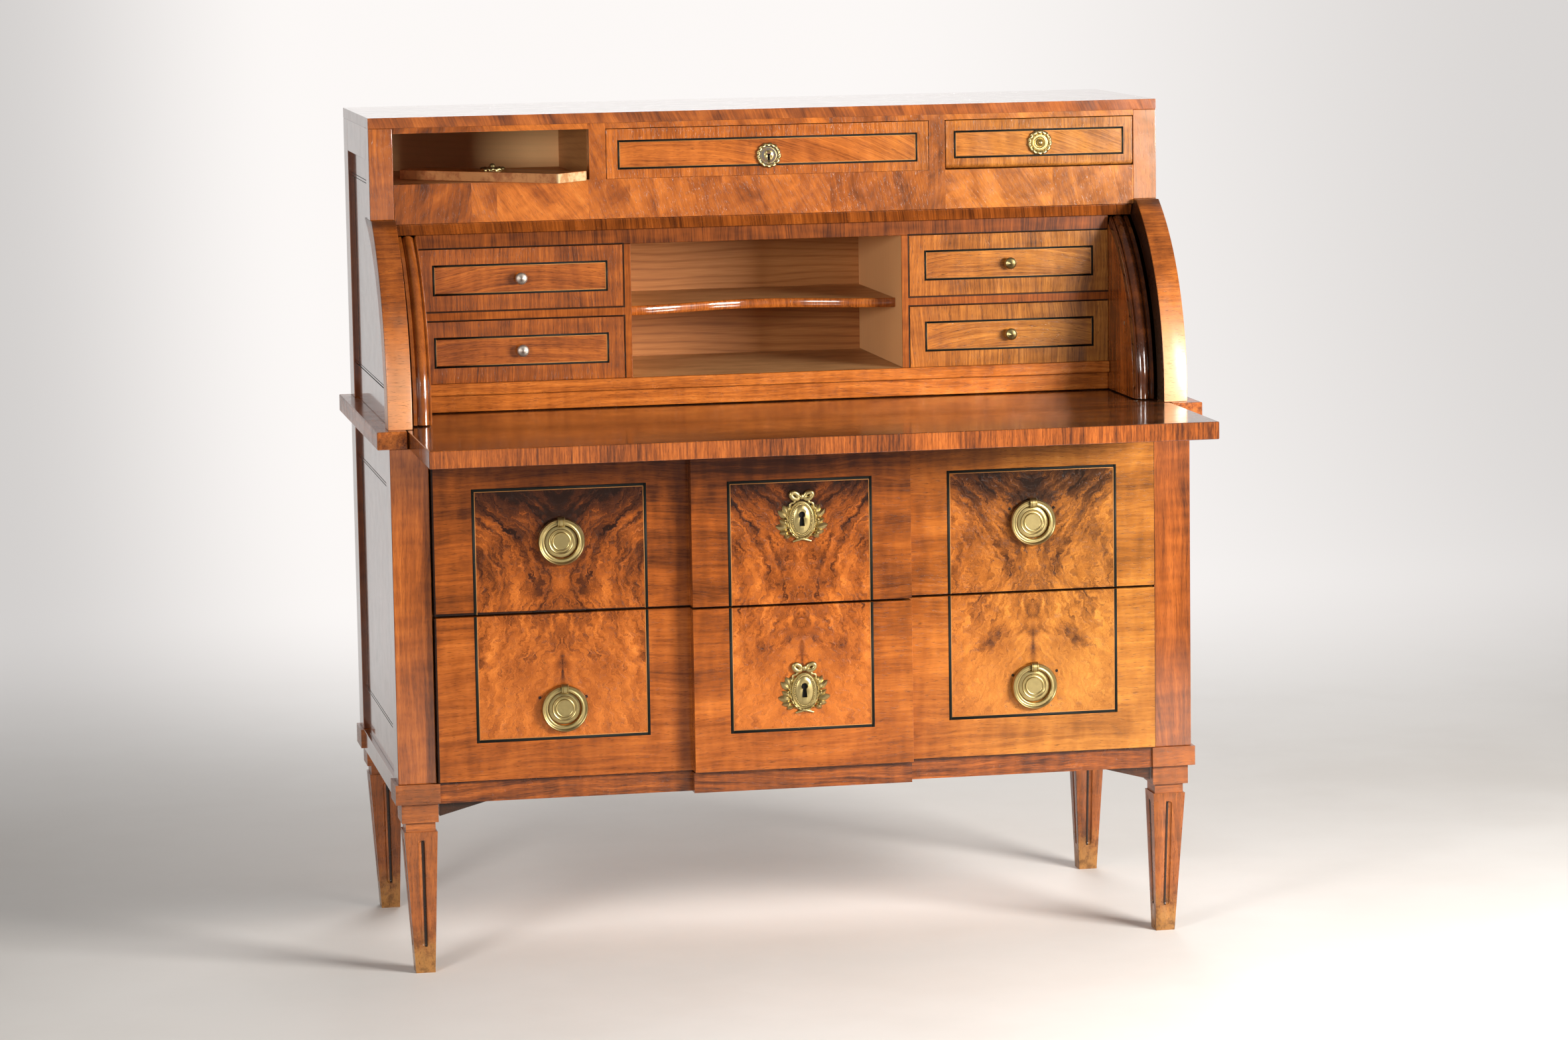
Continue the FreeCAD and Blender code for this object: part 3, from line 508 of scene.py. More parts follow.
def figure(g, u, seed):
    """Book-matched veneer: streaks come in from the upper corners, stand upright and spread again below."""
    off = g.z - figure_waist * MM
    up = off | 0.0
    away = g.math("SQRT", off * off + 0.0012)
    lean = g.smooth(off, -0.06, 0.06, 0.40, 0.95)
    mirrored = g.join(u, g.z, seed)
    slow = g.ripple(mirrored, scale=8.0, detail=3.0, roughness=0.55)
    knots = g.ripple(mirrored, scale=30.0, detail=5.0, roughness=0.62)
    ragged = g.ripple(mirrored, scale=120.0, detail=4.0, roughness=0.65)
    line = u - lean * away + slow * 0.060 + knots * 0.034 + ragged * 0.014

    def streaks(across, run, offset, detail, roughness):
        return g.ripple(g.join(line * across, g.z * run, seed + offset), detail=detail, roughness=roughness)

    veins = streaks(64.0, 17.0, 2.0, 5.0, 0.66)
    flames = streaks(210.0, 36.0, 4.0, 4.0, 0.65)
    hairs = streaks(650.0, 60.0, 6.0, 2.0, 0.5)
    pits = streaks(1100.0, 85.0, 5.0, 1.0, 0.5)
    mottle = g.ripple(g.scaled(u, g.z, seed, 22.0, 13.0, 1.0), detail=4.0, roughness=0.6)
    busy = g.smooth(slow * 0.12 + g.z, 0.385, 0.500)
    cloud = slow * 0.9 + knots * 0.9 + up * 9.5 - u * 3.2
    crown = g.smooth(cloud, 0.10, 0.95) * g.smooth(up, 0.0, 0.03)
    # Painted light and shade: brighter low down, darker towards the top
    tone = g.smooth(g.z, 0.36, 0.66, 0.05, -0.19)
    dark_vein = g.smooth(veins, -0.06, -0.24) * busy
    band = g.smooth(abs(slow * 0.16 + g.z - figure_smudge * MM), 0.032, 0.0)
    smudge = band * g.smooth(knots, -0.02, 0.16)
    seam = g.smooth(knots * 0.008 + u, 0.0045, 0.0) * g.smooth(abs(g.z - figure_seam * MM), 0.034, 0.008)
    value = tone + 0.54 + veins * g.blend(busy, 0.40, 0.85) + flames * g.blend(busy, 0.42, 0.72)
    value = value + hairs * 0.40 + mottle * g.blend(busy, 0.25, 0.60) - dark_vein * 0.15
    return value - crown * 0.32 - smudge * 0.22 - seam * 0.26, g.smooth(pits, 0.12, 0.22)


def drawer_front(name, seed):
    """Three book-matched panels in surrounds with level grain, under painted light and shade and painted shade
    in the gaps.
    """
    g = Wood(name)
    past_left = g.x > -middle_half * MM
    past_centre = g.x > middle_half * MM
    bay = past_left + past_centre
    shifted = bay * 2.3 + g.x
    value = g.lines(shifted, g.z, g.y, seed, density=0.9, bold=0.50, fine=0.5)
    value = value + g.ripple(g.scaled(shifted, g.z, seed, 7.0, 16.0, 1.0), detail=3.0) * 0.35
    # Painted light and shade: surrounds brighter low down, darker towards the top, and lighter in the right
    # bay
    fade = g.smooth(g.z, 0.30, 0.70, 0.05, -0.13)
    value = value + fade * g.blend(past_centre, 1.0, 0.45) + past_centre * 0.06 - 0.04
    # Painted shadow of the writing slide along the top
    value = value - g.smooth(g.z, 0.68, 0.745) * 0.12
    inside, middle = 0.0, 0.0
    for left, right in bays.values():
        here = g.within(g.x, left * MM, right * MM)
        inside = here + inside
        middle = here * ((left + right) / 2 * MM) + middle
    inside = inside * g.within(g.z, panel_bottom * MM, panel_top * MM)
    panel, pits = figure(g, abs(g.x - middle), bay * 0.16 + 1.7)
    # Painted shade on the upper part of the left panels
    panel = panel + g.smooth(g.z, 0.45, 0.60) * g.blend(past_left, -0.07, 0.0)
    value = g.blend(inside, value, panel)
    pores = g.blend(inside, g.pores(g.x, g.z, g.y), pits)
    # Painted shade in the gaps at the sides and, on the upper drawer, a black wedge along its foot; the nail
    # holes join it
    low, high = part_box(name)
    wedge = g.smooth(g.x, low.x, -0.12, 3.4 * MM, 0.7 * MM) if name.startswith("upper") else 0.5 * MM
    gap = (g.x < low.x + 2.4 * MM) | (g.z < wedge + low.z) | (g.x > high.x - 0.8 * MM)
    for x, z in nail_holes:
        off = (g.x - x * MM) ** 2.0 + (g.z - z * MM) ** 2.0
        gap = gap | (off < (nail_radius * MM) ** 2)
    layers = [(gap * 0.95, (0.006, 0.004, 0.003))]
    return g.polish(value, pores, layers, gloss=0.19, coat=0.10, shine=0.20, painted_right_light=0.9)


def banded_front(name, x0, x1, z0, z1, seed, tilt=0.0, shade=0.0):
    """A small front: a panel with level grain in a band whose grain stands upright."""
    g = Wood(name)
    inside = g.within(g.x, x0 * MM, x1 * MM) * g.within(g.z, z0 * MM, z1 * MM)
    arch = ((g.x - (x0 + x1) / 2 * MM) * 2.4) ** 2.0
    level = arch * 0.12 + g.x * tilt + g.z
    along = g.blend(inside, g.z, g.x)
    across = g.blend(inside, g.x, level)
    value = g.lines(along, across, g.y, seed, density=1.9, bold=0.45, fine=0.8)
    value = value + g.blend(inside, shade, shade + 0.05)
    return g.polish(value, g.pores(along, across, g.y), gloss=0.20, painted_right_light=0.9)


def frieze_veneer(name, seed=3.0):
    """Short lengths of mottled veneer side by side, each with its own slant and tone."""
    g = Wood(name)
    piece = 0.0
    for joint in frieze_joints:
        piece = (g.x > joint * MM) + piece
    luck = g.chance(piece + seed)
    stile = abs(g.x) > frieze_half * MM
    across = g.z * g.blend(stile, luck - 0.2, 0.0) + g.x
    along = luck * 7.0 + g.blend(stile, g.z - g.x * 0.5, g.z)
    value = g.lines(along, across, g.y, seed, density=1.5, bold=0.24, fine=0.5)
    mottle = g.grain(along, across, g.y, 11.0, 20.0, detail=6.0, roughness=0.64, distortion=1.3)
    value = value + mottle * g.blend(stile, 0.74, 0.15) + luck * 0.26 - 0.13
    return g.polish(value, g.pores(along, across, g.y), gloss=0.20, painted_right_light=0.5)


def top_wood(name):
    """The top: level grain above, short lengths of mottled veneer along the front edge."""
    g = Wood(name)
    edge = g.normal()[1] < -0.9
    across = g.z * 0.4 + g.x
    mottle = g.ripple(g.scaled(g.z, across, 0.0, 9.0, 24.0, 1.0), detail=5.0, roughness=0.62, distortion=0.7)
    upright = g.lines(g.z, across, g.y, 18.5, density=1.5, bold=0.30, fine=0.6) + mottle * 0.80
    level = g.lines(g.x, g.z, g.y, 18.0, bold=0.5)
    pores = g.pores(g.blend(edge, g.x, g.z), g.blend(edge, g.y, g.x), g.z)
    return g.polish(g.blend(edge, level, upright) - 0.06, pores, gloss=0.16, coat=0.9)


def slide_wood(name):
    """The writing slide: level grain on top, upright cross-banding on the front edge, dust and scratches."""
    g = Wood(name)
    low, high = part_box(name)
    edge = g.y < low.y + 0.4 * MM
    along = g.blend(edge, g.x, g.z)
    across = g.blend(edge, g.y, g.x)
    depth = g.blend(edge, g.z, g.y)
    level = g.lines(along, across, depth, 4.4, density=1.6) - 0.21
    stripes = g.ripple(g.scaled(g.x, g.z, 0.0, 300.0, 18.0, 1.0), detail=5.0, roughness=0.72)
    patches = g.ripple(g.scaled(g.x, g.z, 0.0, 14.0, 2.0, 1.0), detail=3.0)
    value = g.blend(edge, level, stripes * 1.1 + patches * 0.6 + 0.40)
    top = (g.z > high.z - 0.3 * MM) * (1.0 - edge)
    flat = g.join(g.x, g.y, 0.0)
    dusty = g.smooth(g.noise(flat, scale=7.0, detail=3.0), 0.42, 0.62)
    scratch = g.noise(g.scaled(g.x * 0.4 + g.y, g.x, 0.0, 700.0, 9.0, 1.0), detail=1.0)
    dust = g.specks(flat, 130.0, 0.13) * dusty | g.smooth(scratch, 0.74, 0.80) * 0.5
    layers = [(top * 0.16, (0.13, 0.11, 0.07)), (dust * top * 0.6, (0.55, 0.46, 0.38))]
    return g.polish(value, g.pores(along, across, depth), layers, gloss=0.14, coat=0.4)


def nest_wood(name):
    """Walnut on the front edges of the nest with painted shade in the gaps round the drawers, bare softwood
    inside with painted light on its side walls.
    """
    g = Wood(name)
    face = g.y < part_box(name)[0].y + 1.5 * MM
    value = g.lines(g.z, g.x, g.y, 6.2, density=2.0, bold=0.3, fine=0.6)
    gap = 2.6 * MM
    # Painted shade: the rail above the small drawers is darker
    walnut = g.ramp(value + g.blend(g.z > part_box(small_drawers[0])[1].z, -0.05, -0.18), walnut_stops)
    # Painted shade in the gaps round each small drawer
    for drawer in small_drawers:
        low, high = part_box(drawer)
        gap_shade = g.within(g.x, low.x - gap, high.x + gap) * g.within(g.z, low.z - gap, high.z + gap)
        walnut = g.mix(gap_shade * 0.9, walnut, (0.012, 0.007, 0.004))
    normal = g.normal()
    upward = normal[2] > 0.9
    wall = abs(normal[0]) > 0.9
    # Upward faces are paler in patches: dust, and painted light on the tops
    dust_and_light = g.noise(g.scaled(g.x, g.y, 0.0, 9.0, 24.0, 1.0), detail=5.0, roughness=0.65)
    bare = g.softwood(g.blend(wall, g.x, g.z), g.blend(wall, g.z, g.y), g.blend(wall, g.y, g.x), 1.3)
    # Painted light: the side walls are paler
    bare = g.ramp(wall * 0.80 + bare - 0.40, spruce_stops)
    bare = g.mix(wall * 0.60, bare, (0.95, 0.58, 0.28))
    bare = g.mix(upward * g.smooth(dust_and_light, 0.25, 0.65, 0.35, 0.85), bare, (0.700, 0.400, 0.170))
    return g.finish(g.mix(face, bare, walnut), g.blend(face, 0.5, 0.26), value * 0.4, 0.0002,
                    Coat_Weight=0.05, Coat_Roughness=0.2, Specular_IOR_Level=0.22)


def base_rail_wood(name):
    """Level grain; the brackets below it are darkened as painted shade, more on the left."""
    g = Wood(name)
    value = g.lines(g.x, g.z, g.y, 11.0, bold=0.5) - 0.16
    # Painted shade on the brackets, stronger on the left
    bracket = g.z < (base_bottom - 0.3) * MM
    layers = [(bracket * g.blend(g.x > 0.0, 0.88, 0.62), (0.018, 0.010, 0.006))]
    return g.polish(value, g.pores(g.x, g.z, g.y), layers)


def shutter_rail_wood(name):
    """Cross-banding that leans a little, darker than plain walnut."""
    g = Wood(name)
    along = g.y + g.z
    across = along * 0.5 + g.x
    value = g.lines(along, across, 0.0, 17.0, density=1.8, bold=0.45, fine=0.8) - 0.13
    return g.polish(value, g.pores(along, across, 0.0), gloss=0.26)


def flap_wood(name):
    """The loose flap: veneer on its face, worn edges, bare at the broken end."""
    g = Wood(name)
    low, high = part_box(name)
    centre = (low + high) / 2
    face = g.z > high.z - 0.5 * MM
    cos, sin = math.cos(flap_turn), math.sin(flap_turn)
    along = g.x * cos - g.y * sin
    value = g.lines(along, g.x * sin + g.y * cos, g.z, 8.8)
    stain = g.smooth(g.noise(g.where, scale=55.0, detail=5.0, roughness=0.7), 0.42, 0.64)
    broken = along - (centre.x * cos - centre.y * sin) > 0.136
    pale = g.mix(stain, (0.72, 0.48, 0.25), (0.45, 0.21, 0.075))
    wear_and_sheen = g.mix(stain, (0.56, 0.24, 0.080), (0.36, 0.115, 0.033))
    colour = g.mix(face, g.mix(broken, wear_and_sheen, pale), g.ramp(value, walnut_stops))
    return g.finish(colour, g.blend(face, 0.55, 0.3), value, 0.0003, Coat_Weight=0.1, Coat_Roughness=0.2)


def metal(name, colour, tarnish, roughness, patina):
    """Old cast metal with a little tarnish."""
    g = Graph(name)
    cloud = g.noise(g.where, scale=90.0, detail=4.0, roughness=0.6)
    grain = g.noise(g.where, scale=900.0)
    tint = g.mix(g.smooth(cloud, 0.45, 0.70) * patina, colour, tarnish)
    rough = g.smooth(cloud, 0.3, 0.7, roughness - 0.03, roughness + 0.05)
    return g.finish(tint, rough, grain, 0.00001, Metallic=1.0)


def line_wood(name, colour, worn_colour):
    """Dyed or pale string inlay with a little wear."""
    g = Graph(name)
    worn = g.noise(g.where, scale=220.0, detail=4.0, roughness=0.7)
    tint = g.mix(g.smooth(worn, 0.62, 0.80), colour, worn_colour)
    return g.finish(tint, g.smooth(worn, 0.3, 0.7, 0.5, 0.65), Specular_IOR_Level=0.15)


black_string = line_wood("black_string", (0.008, 0.010, 0.008), (0.10, 0.06, 0.03))
pale_string = line_wood("pale_string", (0.46, 0.20, 0.06), (0.25, 0.09, 0.025))
brass = metal("brass", (0.44, 0.345, 0.150), (0.27, 0.21, 0.085), 0.34, 0.40)
pale_metal = metal("white_metal", (0.46, 0.41, 0.36), (0.34, 0.28, 0.22), 0.52, 0.4)
iron = metal("iron", (0.10, 0.09, 0.08), (0.16, 0.07, 0.03), 0.45, 0.7)
# Painted shade: a near-black sheet behind the keyholes
keyhole_shade = line_wood("keyhole_dark", (0.004, 0.003, 0.003), (0.006, 0.004, 0.004))


def dress_node(node, material, bevel=0.8):
    """Give a CAD node its material and soften its edges."""
    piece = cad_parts[node]
    piece.data.materials.clear()
    piece.data.materials.append(material)
    if bevel:
        weld = piece.modifiers.new("weld", "WELD")
        weld.merge_threshold = 0.02 * MM
        flat = piece.modifiers.new("flat", "DECIMATE")
        flat.decimate_type = "DISSOLVE"
        flat.angle_limit = math.radians(0.4)
        soft = piece.modifiers.new("bevel", "BEVEL")
        soft.offset_type = "WIDTH"
        soft.width = bevel * math.sqrt(2.0) * MM
        soft.segments = 2
        soft.limit_method = "ANGLE"
        soft.angle_limit = math.radians(40.0)
        soft.harden_normals = True


def dress_walnut(node, grain, seed, shade=0.0, bevel=0.8, **look):
    dress_node(node, plain_walnut(node, grain, seed, shade, **look), bevel)


def dress_nodes():
    """Woods of the case and of what moves in it, and the ironwork."""
    for number, node in enumerate(("leg_front_left", "leg_front_right", "leg_rear_left", "leg_rear_right")):
        dress_node(node, leg_wood(node, 1.0 + number, rear_mirror if "rear" in node else 0.0))
    sides = ("lower_side_left", "lower_side_right", "upper_side_left", "upper_side_right")
    for number, node in enumerate(sides):
        dress_node(node, side_frame(node, 5.0 + 1.3 * number), bevel=1.2)
    dress_walnut("side_panels", "Z", 9.5, -0.06, density=0.7, bold=0.5, **side_varnish)
    dress_walnut("side_base_rails", "Y", 11.5, -0.06, bold=0.5, **side_varnish)
    dress_walnut("desk_ledges", "Y", 12.0, bevel=1.5)
    dress_walnut("nest_linings", "Z", 14.0, -0.06)
    dress_walnut("nest_plinth", "X", 15.0, 0.11, bevel=1.5, bold=0.5)
    dress_walnut("shutter_shell", "X", 16.0)
    for node, wood, bevel in (("base_rail", base_rail_wood, 0.8), ("back_boards", back_wood, 0.8),
                              ("cylinder_arms", arm_wood, 1.2), ("nest_case", nest_wood, 0.8),
                              ("frieze_frame", frieze_veneer, 0.4), ("top_board", top_wood, 0.4),
                              ("shutter_rail", shutter_rail_wood, 0.8), ("writing_slide", slide_wood, 1.5),
                              ("loose_flap", flap_wood, 1.0)):
        dress_node(node, wood(node), bevel)
    hidden = spruce("case_wood", "X", 3.0, -0.05)
    for node in ("bottom_board", "drawer_runners", "slide_bed", "middle_rail", "shutter_stops"):
        dress_node(node, hidden, bevel=0)
    for node, grain in (("frieze_floor", "X"), ("frieze_dividers", "Y")):
        dress_node(node, spruce(node, grain, 4.0, -0.02))
    for number, level in enumerate(("upper", "lower")):
        front, box = level + "_drawer_front", level + "_drawer_box"
        dress_node(front, drawer_front(front, 1.0 + 2.0 * number))
        dress_node(box, spruce(box, "Y", 5.0 + number), bevel=0)
    for node in ("upper_lock_case", "upper_lock_bolt", "lower_lock_case", "lower_lock_bolt", "shutter_arms",
                 "pivot_pins", "frieze_lock_bolt"):
        dress_node(node, iron, bevel=0.4)
    dress_node("frieze_drawer_lock", iron, bevel=0.3)


def around(steps):
    """Even angles once round."""
    return [2 * math.pi * i / steps for i in range(steps)]


class Ornament:
    """A mesh built in its own plane: x to the right, y up and z out of the wood, in millimetres."""

    def __init__(self):
        self.bm = bmesh.new()

    def loops(self, rings, closed_start=False, closed_end=False):
        """Skin a list of rings of points, each with as many points as the next."""
        verts = [[self.bm.verts.new(Vector(p)) for p in ring] for ring in rings]
        for low, high in zip(verts, verts[1:]):
            for i in range(len(low)):
                j = (i + 1) % len(low)
                self.bm.faces.new((low[i], low[j], high[j], high[i]))
        if closed_start:
            self.bm.faces.new(list(reversed(verts[0])))
        if closed_end:
            self.bm.faces.new(verts[-1])

    def oval(self, rx, ry, profile, steps=72, closed_end=False):
        """Sweep a profile of (offset, height) pairs round an oval; a round one where rx and ry are equal."""
        rings = []
        for offset, height in profile:
            wide, tall = rx + offset, ry + offset
            rings.append([(wide * math.cos(a), tall * math.sin(a), height) for a in around(steps)])
        self.loops(rings, closed_end=closed_end)

    def ball(self, x, y, z, radius, flat=1.0):
        made = bmesh.ops.create_icosphere(self.bm, subdivisions=2, radius=radius)
        for vert in made["verts"]:
            vert.co = Vector((vert.co.x + x, vert.co.y + y, vert.co.z * flat + z))

    def tube(self, points, start, end, sides=8, flat=1.0):
        """A cord through points, with one radius at its start and one at its end."""
        path = [Vector(p) for p in points]
        last = len(path) - 1
        rings = []
        for i, point in enumerate(path):
            ahead = (path[min(i + 1, last)] - path[max(i - 1, 0)]).normalized()
            side = ahead.cross(Vector((0, 0, 1))).normalized()
            over = side.cross(ahead)
            size = start + (end - start) * i / last
            side, over = side * size, over * size * flat
            rings.append([point + side * math.cos(a) + over * math.sin(a) for a in around(sides)])
        self.loops(rings, closed_start=True, closed_end=True)

    def leaf(self, x, y, angle, length, width, rise, base=0.4):
        """A pointed leaf with a raised midrib, lying outward from (x, y)."""
        steps = 9
        ahead = Vector((math.cos(angle), math.sin(angle), 0))
        side = Vector((-ahead.y, ahead.x, 0))
        rings = []
        for i in range(steps):
            share = i / (steps - 1)
            half = max(width / 2 * math.sin(math.pi * share ** 0.85) ** 0.7, 0.06)
            middle = Vector((x, y, base)) + ahead * length * share
            top = Vector((0, 0, rise * math.sin(math.pi * (0.15 + 0.8 * share))))
            shoulder = top * 0.62
            rings.append([middle + side * half, middle + side * half * 0.45 + shoulder, middle + top,
                          middle - side * half * 0.45 + shoulder, middle - side * half,
                          middle - Vector((0, 0, base))])
        self.loops(rings, closed_start=True, closed_end=True)

    def piece(self, name, body, slot, materials, mount, smooth_angle=35.0):
        """Turn what was built into an object that rides on a body; mount takes the ornament to the frame."""
        bmesh.ops.recalc_face_normals(self.bm, faces=self.bm.faces)
        self.bm.transform(mount @ Matrix.Diagonal((MM, MM, MM, 1.0)))
        return finish_piece(name, self.bm, body, materials, smooth_angle)


def add_object(name, data):
    made = bpy.data.objects.new(name, data)
    bpy.context.collection.objects.link(made)
    return made


def mesh_object(name, bm, materials):
    """An object with smooth faces."""
    for face in bm.faces:
        face.smooth = True
    mesh = bpy.data.meshes.new(name)
    bm.to_mesh(mesh)
    bm.free()
    for material in materials:
        mesh.materials.append(material)
    return add_object(name, mesh)


def finish_piece(name, bm, body, materials, smooth_angle=35.0):
    """An object that rides on a body, with edges sharper than the angle kept sharp."""
    for edge in bm.edges:
        if len(edge.link_faces) == 2 and edge.calc_face_angle(0.0) > math.radians(smooth_angle):
            edge.smooth = False
    piece = mesh_object(name, bm, materials)
    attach(piece, body)
    return piece


def facing_front(x, y, z):
    """From an ornament's plane to an upright face of the case that looks to the front."""
    turn = Matrix(((1, 0, 0, 0), (0, 0, -1, 0), (0, 1, 0, 0), (0, 0, 0, 1)))
    return Matrix.Translation(place(x, y, z)) @ turn


def middle_of(node):
    """The middle of a node's box in case millimetres."""
    low, high = case_box(node)
    return (low + high) / 2


def add_box(bm, low, high):
    corners = [bm.verts.new((x, y, z))
               for x in (low.x, high.x) for y in (low.y, high.y) for z in (low.z, high.z)]
    for quad in ((0, 1, 3, 2), (4, 6, 7, 5), (0, 4, 5, 1), (2, 3, 7, 6), (0, 2, 6, 4), (1, 5, 7, 3)):
        bm.faces.new([corners[i] for i in quad])


def front_frame(x0, x1, z0, z1, width, face, top, bottom):
    """Flat strips let into an upright face, a hair proud of it, inside the edges of a rectangle."""
    strips = [(x0, x0 + width, z0, z1), (x1 - width, x1, z0, z1)]
    if top:
        strips.append((x0 + width, x1 - width, z1 - width, z1))
    if bottom:
        strips.append((x0 + width, x1 - width, z0, z0 + width))
    bm = bmesh.new()
    for left, right, low, high in strips:
        add_box(bm, place(left, face - line_proud, low), place(right, face + line_sunk, high))
    return bm


def string_frame(name, body, x0, x1, z0, z1, width, face, top=True, bottom=True):
    """A black line with a thin pale one inside it."""
    black = front_frame(x0, x1, z0, z1, width, face, top, bottom)
    finish_piece(name + "_black_line", black, body, [black_string])
    inner_z0 = z0 + width if bottom else z0
    inner_z1 = z1 - width if top else z1
    pale = front_frame(x0 + width, x1 - width, inner_z0, inner_z1, pale_line, face, top, bottom)
    finish_piece(name + "_pale_line", pale, body, [pale_string])


def large_lines():
    """Lines of the large drawers, which run on from one drawer to the other."""
    for level in ("upper", "lower"):
        low, high = case_box(level + "_drawer_front")
        top = level == "upper"
        z0 = low.z if top else panel_bottom
        z1 = panel_top if top else high.z
        for bay, (x0, x1) in bays.items():
            face = low.y if bay == "centre" else side_bay_face
            string_frame(level + "_" + bay, level + "_drawer", x0, x1, z0, z1, large_line, face, top, not top)


def doubled(*places):
    """Each place and one beside it."""
    return [start + step for start in places for step in (0.0, side_lines_apart)]


def side_lines():
    """Double lines where the side panels meet the rails and stiles round them."""
    low, high = case_box("side_panels")
    rear = case_back - post_size
    lower_ends = (post_size + side_margin, rear - side_margin)
    strips = [(post_size, rear, z, z + side_line) for z in doubled(*lower_joints)]
    strips += [(low.y + 1.0, rear, z, z + side_line) for z in doubled(upper_joints[0])]
    strips += [(upper_stile_back, rear, z, z + side_line) for z in doubled(upper_joints[1])]
    strips += [(y, y + side_line, *lower_joints) for y in doubled(*lower_ends)]
    strips += [(y, y + side_line, *upper_joints) for y in doubled(lower_ends[1])]
    for side, sign in (("left", -1), ("right", 1)):
        bm = bmesh.new()
        near, far = sorted((sign * (high.x - line_sunk), sign * (high.x + line_proud)))
        for y0, y1, z0, z1 in strips:
            add_box(bm, place(near, y0, z0), place(far, y1, z1))
        finish_piece("side_panel_lines_" + side, bm, "case", [black_string])


def lining_pin():
    """The head of a pin in the right lining."""
    pin = Ornament()
    pin.oval(0, 0, pin_profile, 24, closed_end=True)
    x = case_box("cylinder_guides")[1].x - pin_inside
    turn = Matrix.Rotation(math.radians(-90.0), 4, "Y")
    pin.piece("lining_pin", "case", "iron", [pale_metal], Matrix.Translation(place(x, *pin_place)) @ turn)


def small_fronts():
    """Veneer, lines and knobs of the four small drawers."""
    for number, node in enumerate(small_drawers):
        low, high = case_box(node)
        panel = (low.x + small_margin, high.x - small_margin, low.z + small_margin, high.z - small_margin)
        left = node.endswith("left")
        # Painted shade: the left drawers' veneer is darker
        dress_node(node, banded_front(node, *panel, 20.0 + number, shade=-0.07 if left else 0.0), bevel=1.2)
        string_frame(node, node, *panel, small_line, low.y)
        knob_low, knob_high = case_box(node + "_knob")
        centre = middle_of(node + "_knob")
        knob = Ornament()
        knob.oval(0, 0, knob_profile + [(0.05, knob_high.y - knob_low.y)], steps=40, closed_end=True)
        mount = facing_front(centre.x, low.y, centre.z)
        piece = knob.piece(node + "_turned_knob", node, "brass", [pale_metal if left else brass], mount)
        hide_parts(node + "_knob")


def ring_handle(level, side):
    """Ring, turned plate and strap of a large handle."""
    node = level + "_ring_" + side
    body = level + "_drawer"
    centre = middle_of(node)
    ring = Ornament()
    ring.oval(ring_radius, ring_radius, ring_section, steps=96)
    bmesh.ops.remove_doubles(ring.bm, verts=ring.bm.verts, dist=0.01)
    piece = ring.piece(level + "_turned_ring_" + side, node, "brass", [brass], facing_front(*centre), 60.0)
    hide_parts(node)
    mount = facing_front(centre.x, side_bay_face, centre.z)
    plate = Ornament()
    plate.oval(0, 0, plate_profile, closed_end=True)
    piece = plate.piece(level + "_handle_plate_" + side, body, "brass", [brass], mount)
    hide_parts(level + "_drawer_fittings")
    low, high = case_box(node)
    lug = strap((high.z - low.z) / 2 - (high.y - low.y) / 2, side_bay_face - centre.y)
    lug.piece(level + "_handle_strap_" + side, body, "brass", [brass], mount, 30.0)


def strap(rise, stand):
    """The reeded strap that the ring hangs in, round an axis at that rise above the plate's middle."""
    lug = Ornament()
    turns = 18
    rings = []
    for i in range(turns + 1):
        angle = math.radians(strap_turn * (2 * i / turns - 1))
        rings.append([(x, rise + r * math.sin(angle), stand + r * math.cos(angle)) for x, r in strap_profile])
    lug.loops(rings, closed_start=True, closed_end=True)
    return lug


def keyhole_reach(angle, size):
    """How far a keyhole reaches from its middle: a round top and a slot that widens a little downward."""
    rise, radius, half, foot = 3.6 * size, 4.2 * size, 2.3 * size, 11.5 * size
    across, up = math.cos(angle), math.sin(angle)
    round_part = rise * up + math.sqrt(max(radius ** 2 - (rise * across) ** 2, 0))
    if up >= 0:
        return round_part
    width = abs(across) + 0.10 * up
    side = half / width if width > 1e-6 else math.inf
    return max(round_part, min(side, foot / -up))


def keyhole_plate(ornament, rx, ry, height, size, lift=0.0, steps=96):
    """A slightly domed oval with a keyhole through it; the backing of the hole, a dark sheet of painted shade,
    has material 1.
    """
    loops = [[], [], [], [], [], []]
    for angle in around(steps):
        reach = keyhole_reach(angle, size)
        across, up = math.cos(angle), math.sin(angle)
        lip = reach + 0.9
        loops[0].append((rx * across, ry * up, 0.0))
        loops[1].append((rx * across, ry * up, height - 1.6))
        loops[2].append((rx * across * 0.86, ry * up * 0.86, height - 0.4))
        loops[3].append((lip * across, lip * up + lift, height + 0.4))
        loops[4].append((reach * across, reach * up + lift, height - 0.2))
        loops[5].append((reach * across, reach * up + lift, 0.3))
    ornament.loops(loops)
    backing = ornament.bm.faces.new([ornament.bm.verts.new(Vector(p)) for p in loops[5]])
    backing.material_index = 1


def key_plates():
    """The oval key plates: keyhole, beads, rim, laurel sprays and a bow."""
    for level in ("upper", "lower"):
        face = case_box(level + "_drawer_front")[0].y
        plate = Ornament()
        keyhole_plate(plate, *key_oval, 4.0, 1.06, 3.0)
        plate.oval(*key_oval, key_rim)
        for angle in around(bead_count):
            plate.ball(bead_oval[0] * math.cos(angle), bead_oval[1] * math.sin(angle), 1.8, 1.2)
        for side in (-1, 1):
            laurel(plate, side)
            bow(plate, side)
        plate.ball(0, 32.5, 2.6, 4.6, 0.8)
        mount = facing_front(0, face, middle_of(level + "_lock_case").z)
        piece = plate.piece(level + "_key_plate", level + "_drawer", "brass", [brass, keyhole_shade], mount, 50.0)
        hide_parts(level + "_drawer_fittings")


